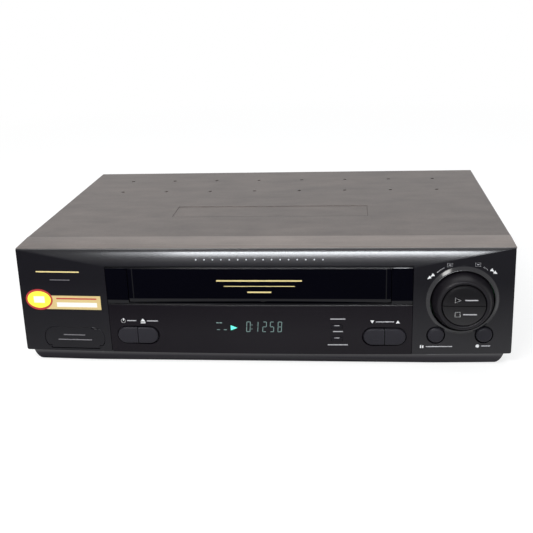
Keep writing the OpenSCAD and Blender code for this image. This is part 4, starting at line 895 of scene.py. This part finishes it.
play_outline = [(dx - 7.1, dz + 2.3), (dx - 2.1, dz + 4.6), (dx - 7.1, dz + 6.9)]
stop_outline = bar(dx - 6.7, dx - 2.6, dz - 8.7, dz - 4.5)
mark("play_mark", outline_of(play_outline, 1.15), CAP_FACE, symbol_grey, "play_button")
mark("play_line", [line(dx + 0.3, dx + 9.6, dz + 4.6, 0.8)], CAP_FACE, line_grey, "play_button")
mark("stop_mark", outline_of(stop_outline, 0.85), CAP_FACE, symbol_grey, "stop_button")
mark("stop_line", [line(dx - 0.7, dx + 9.3, dz - 6.6, 0.8)], CAP_FACE, line_grey, "stop_button")
rewind = [turned_by(pointer(x, 71.6, -3.0, 2.6), 127.4, 71.6, 38) for x in (125.9, 128.9)]
forward = [turned_by(pointer(x, 74.9, 3.0, 2.6), 173.6, 74.9, -38) for x in (172.1, 175.1)]
mark("wind_marks", rewind + forward, front, symbol_grey)
mark("wind_lines", arc_line(131, 119) + arc_line(61, 54), front, line_grey)
mark("search_marks", framed(110) + framed(70), front, line_grey)
mark("pause_mark", [bar(121.2, 122.1, 13.8, 16.2), bar(122.8, 123.7, 13.8, 16.2)], front, symbol_grey)
mark("record_mark", [arc(164.3, 15.2, 1.35, 0, 340, 17)], front, symbol_grey)
eject_outline = [(-94.3, 34.8), (-90.5, 34.8), (-92.4, 37.4)]
mark("eject_mark", [eject_outline, bar(-94.3, -90.5, 33.3, 34.1)], front, symbol_grey)
power_ring = ring_line(-108, 35.1, 1.9, 1.4, range(-235, 72, 18))
mark("power_mark", power_ring + [bar(-108.25, -107.75, 35.1, 37.5)], front, symbol_grey)
down, up = 84.9, 104.1          # places of the channel arrows
mark("channel_marks", [[(down - 1.5, 36.8), (down, 34.4), (down + 1.5, 36.8)],
                       [(up - 1.5, 34.4), (up + 1.5, 34.4), (up, 36.8)]], front, symbol_grey)
by_buttons = [(-104.8, -97.8, 35.4), (-89.2, -80.4, 35.4), (87.6, 101.2, 35.6), (125.6, 145.4, 15.0),
              (167.2, 174.0, 15.2), (53.2, 64.6, 38.0), (55.1, 62.7, 27.7), (51.0, 66.4, 16.6)]
mark("button_lines", [line(*ends) for ends in by_buttons], front, line_grey)
# painted highlight: a short light grey bar along the top edge of each small button
for name, z in (("menu", MENU_Z), ("set", SET_Z)):
    face = front(SMALL_X, z) - 0.6
    mark(name + "_painted_highlight", [line(56.2, 60.0, z + 1, 0.5)], face, line_grey, name + "_button")


def door_face(x, _z):
    """Y of the jack door's face."""
    return 0.2 - bow(JACK_X) + (x - JACK_X) * (2 * BULGE * JACK_X / HALF ** 2)


door_lines = [line(-158.0, -140.4, 22.2), line(-162.7, -135.2, 18.1)]
mark("door_lines", door_lines, door_face, dull_print, "jack_door")

# display: a small arrow and a counter reading of plain seven-bar digits
SEGMENTS = {"0": "abcdef", "1": "bc", "2": "abged", "5": "afgcd", "8": "abcdefg"}
DIGIT_Z, DIGIT_W, DIGIT_H, BAR_W, LEAN = 27.1, 3.2, 8.6, 0.5, 0.07


def digit(sign, x):
    """Bars of one digit whose left side is at x."""
    left, right = x + BAR_W, x + DIGIT_W - BAR_W
    top, middle = DIGIT_Z + DIGIT_H, DIGIT_Z + DIGIT_H / 2
    upper, lower = (middle + 0.2, top - 0.3), (DIGIT_Z + 0.3, middle - 0.2)
    bars = {"a": bar(left, right, top - BAR_W, top),
            "b": bar(right, x + DIGIT_W, *upper),
            "c": bar(right, x + DIGIT_W, *lower),
            "d": bar(left, right, DIGIT_Z, DIGIT_Z + BAR_W),
            "e": bar(x, left, *lower),
            "f": bar(x, left, *upper),
            "g": bar(left, right, middle - BAR_W / 2, middle + BAR_W / 2)}
    return [[(px + (pz - DIGIT_Z) * LEAN, pz) for px, pz in bars[s]] for s in SEGMENTS[sign]]


mark("play_lamp", [pointer(-20.9, 30.4, 5.2, 4.2)], front, glow_teal)
reading = [shape for sign, x in zip("01258", (-11.6, -5.6, 0.9, 6.6, 12.6)) for shape in digit(sign, x)]
reading += [bar(-7.4, -6.8, 29.2, 29.9), bar(-7.2, -6.6, 32.6, 33.3)]
mark("counter", reading, front, glow_digit)
dots = [bar(-34.6, -32.6, 34.1, 34.9), bar(-32.2, -30.2, 34.1, 34.9),
        bar(-34.4, -32.0, 28.5, 29.0), bar(-29.0, -26.6, 28.5, 29.0)]
mark("lamp_dots", dots, front, glow_digit)

# plain gold lines on the flap, silver dots on the brow
flap_lines = [line(-33, 32, 68.4, 1.1), line(-27.5, 26.5, 64.0, 0.5), line(-9.6, 8.6, 59.2, 1.1)]
mark("flap_lines", flap_lines, FLAP_FACE, gold_print, "cassette_flap", 0.03)
mark("brow_dots", [arc(-48 + i * 96 / 15, 85.0, 0.5, 0, 330, 11) for i in range(16)], front, brow_print)
# plain lines at the upper left of the bezel, and a plain label below them
mark("gold_line", [bar(-174.6, -139.9, 74.6, 75.6)], front, gold_print)
mark("grey_line", [bar(-164, -148, 68.2, 68.7)], front, dull_print)


def ellipse(cx, cz, rx, rz):
    turns = [2 * math.pi * i / 48 for i in range(48)]
    return [(cx + rx * math.cos(a), cz + rz * math.sin(a)) for a in turns]


def lifted(amount):
    return lambda x, z: front(x, z) - amount


DISC = (-174.6, 51.9)           # middle of the label's disc
mark("label", [bar(-170, -124.8, 44.0, 55.4)], front, label_gold, thick=0.06)
mark("label_line", [bar(-160.5, -128, 52.4, 53.5)], lifted(0.03), label_red)
mark("label_band", [bar(-160.5, -128, 46.0, 49.8)], lifted(0.03), label_white)
mark("label_disc", [ellipse(*DISC, 11.0, 8.7)], lifted(0.04), label_red)
mark("label_disc_face", [ellipse(*DISC, 9.6, 7.0)], lifted(0.06), label_yellow)
mark("label_disc_heart", [bar(-179.0, -170.2, 49.2, 54.6)], lifted(0.08), label_white)

# ---------------------------------------------------------------- camera, in metres
RIGHT = Vector((0.99526, 0.09143, -0.03285))
UP = Vector((0.00066, 0.33185, 0.94333))
AHEAD = Vector((-0.0971, 0.9389, -0.3302))
camera = bpy.data.objects.new("camera", bpy.data.cameras.new("camera"))
turn = Matrix((RIGHT, UP, -AHEAD)).transposed().to_4x4()
camera.matrix_world = Matrix.Translation((0.06674, -0.7156, 0.28744)) @ turn
camera.data.lens = 56.56
camera.data.sensor_width = 36.0
camera.data.clip_start = 0.01
bpy.context.scene.collection.objects.link(camera)
bpy.context.scene.camera = camera
bpy.context.scene.view_settings.view_transform = "Standard"


# ---------------------------------------------------------------- floor and light
def shader(tree, kind, **sockets):
    """A shader node with plain values in its sockets."""
    made = tree.nodes.new("ShaderNode" + kind)
    for key, value in sockets.items():
        made.inputs[key].default_value = value
    return made


def seen_rays(tree):
    """1 for rays from the camera and for those that gloss or glass sends on."""
    path = shader(tree, "LightPath")
    camera_ray = Number(tree, path.outputs["Is Camera Ray"])
    glossy_ray = Number(tree, path.outputs["Is Glossy Ray"])
    return camera_ray.most(glossy_ray).most(Number(tree, path.outputs["Is Transmission Ray"]))


def either(tree, first, second, at):
    """The first shader where at is 0, the second where it is 1."""
    made = shader(tree, "MixShader")
    for socket, put in zip((at.socket, first.outputs[0], second.outputs[0]), made.inputs):
        tree.links.new(socket, put)
    return made


sheet = bmesh.new()
bmesh.ops.create_grid(sheet, x_segments=2, y_segments=2, size=6.0)
ground = bpy.data.meshes.new("floor")
sheet.to_mesh(ground)
sheet.free()
floor = bpy.data.objects.new("floor", ground)
bpy.context.scene.collection.objects.link(floor)
pale = bpy.data.materials.new("floor_white")
pale.use_nodes = True
tree = pale.node_tree
tree.nodes.clear()
matt = shader(tree, "BsdfDiffuse", Color=(0.8, 0.8, 0.8, 1))
near = shader(tree, "AddShader")
tree.links.new(shader(tree, "BsdfDiffuse", Color=(0.3, 0.3, 0.3, 1)).outputs[0], near.inputs[0])
tree.links.new(shader(tree, "Emission", Strength=0.76).outputs[0], near.inputs[1])
apart = shader(tree, "VectorMath")
apart.operation = "LENGTH"
tree.links.new(shader(tree, "TexCoord").outputs["Object"], apart.inputs[0])
far = Number(tree, apart.outputs["Value"]).rise(0.45, 1.3)
seen = either(tree, near, shader(tree, "Emission"), far)
out = shader(tree, "OutputMaterial")
tree.links.new(either(tree, matt, seen, seen_rays(tree)).outputs[0], out.inputs[0])
ground.materials.append(pale)

world = bpy.data.worlds.new("studio")
bpy.context.scene.world = world
world.use_nodes = True
tree = world.node_tree
tree.nodes.clear()
room = shader(tree, "Background", Color=(0.9, 0.95, 1.0, 1), Strength=0.35)
backdrop = shader(tree, "Background", Color=(1, 1, 1, 1), Strength=1.0)
out = shader(tree, "OutputWorld")
tree.links.new(either(tree, room, backdrop, seen_rays(tree)).outputs[0], out.inputs[0])


def lamp(name, at, aim, size, power, colour=(1, 1, 1)):
    """Soft rectangular lamp turned towards a point."""
    light = bpy.data.lights.new(name, "AREA")
    light.shape = "RECTANGLE"
    light.size = size[0]
    light.size_y = size[1]
    light.energy = power
    light.color = colour
    o = bpy.data.objects.new(name, light)
    bpy.context.scene.collection.objects.link(o)
    o.location = at
    o.rotation_euler = (Vector(aim) - Vector(at)).to_track_quat("-Z", "Y").to_euler()


COOL, WARM = (0.93, 0.96, 1.0), (1.0, 0.99, 0.97)
lamp("overhead", (0.1, 0.35, 1.7), (0, 0, 0.05), (1.8, 1.2), 12.5)
lamp("strip_core", (-0.025, -2.12, 0.385), (-0.025, 0, 0.385), (0.95, 0.155), 11.5, COOL)
lamp("strip_wide", (0.015, -2.14, 0.385), (0.015, 0, 0.385), (1.47, 0.155), 6.4, COOL)
lamp("left_box", (-0.58, -0.94, 1.1), (0.14, -0.125, 0.07), (0.9, 0.34), 15, WARM)
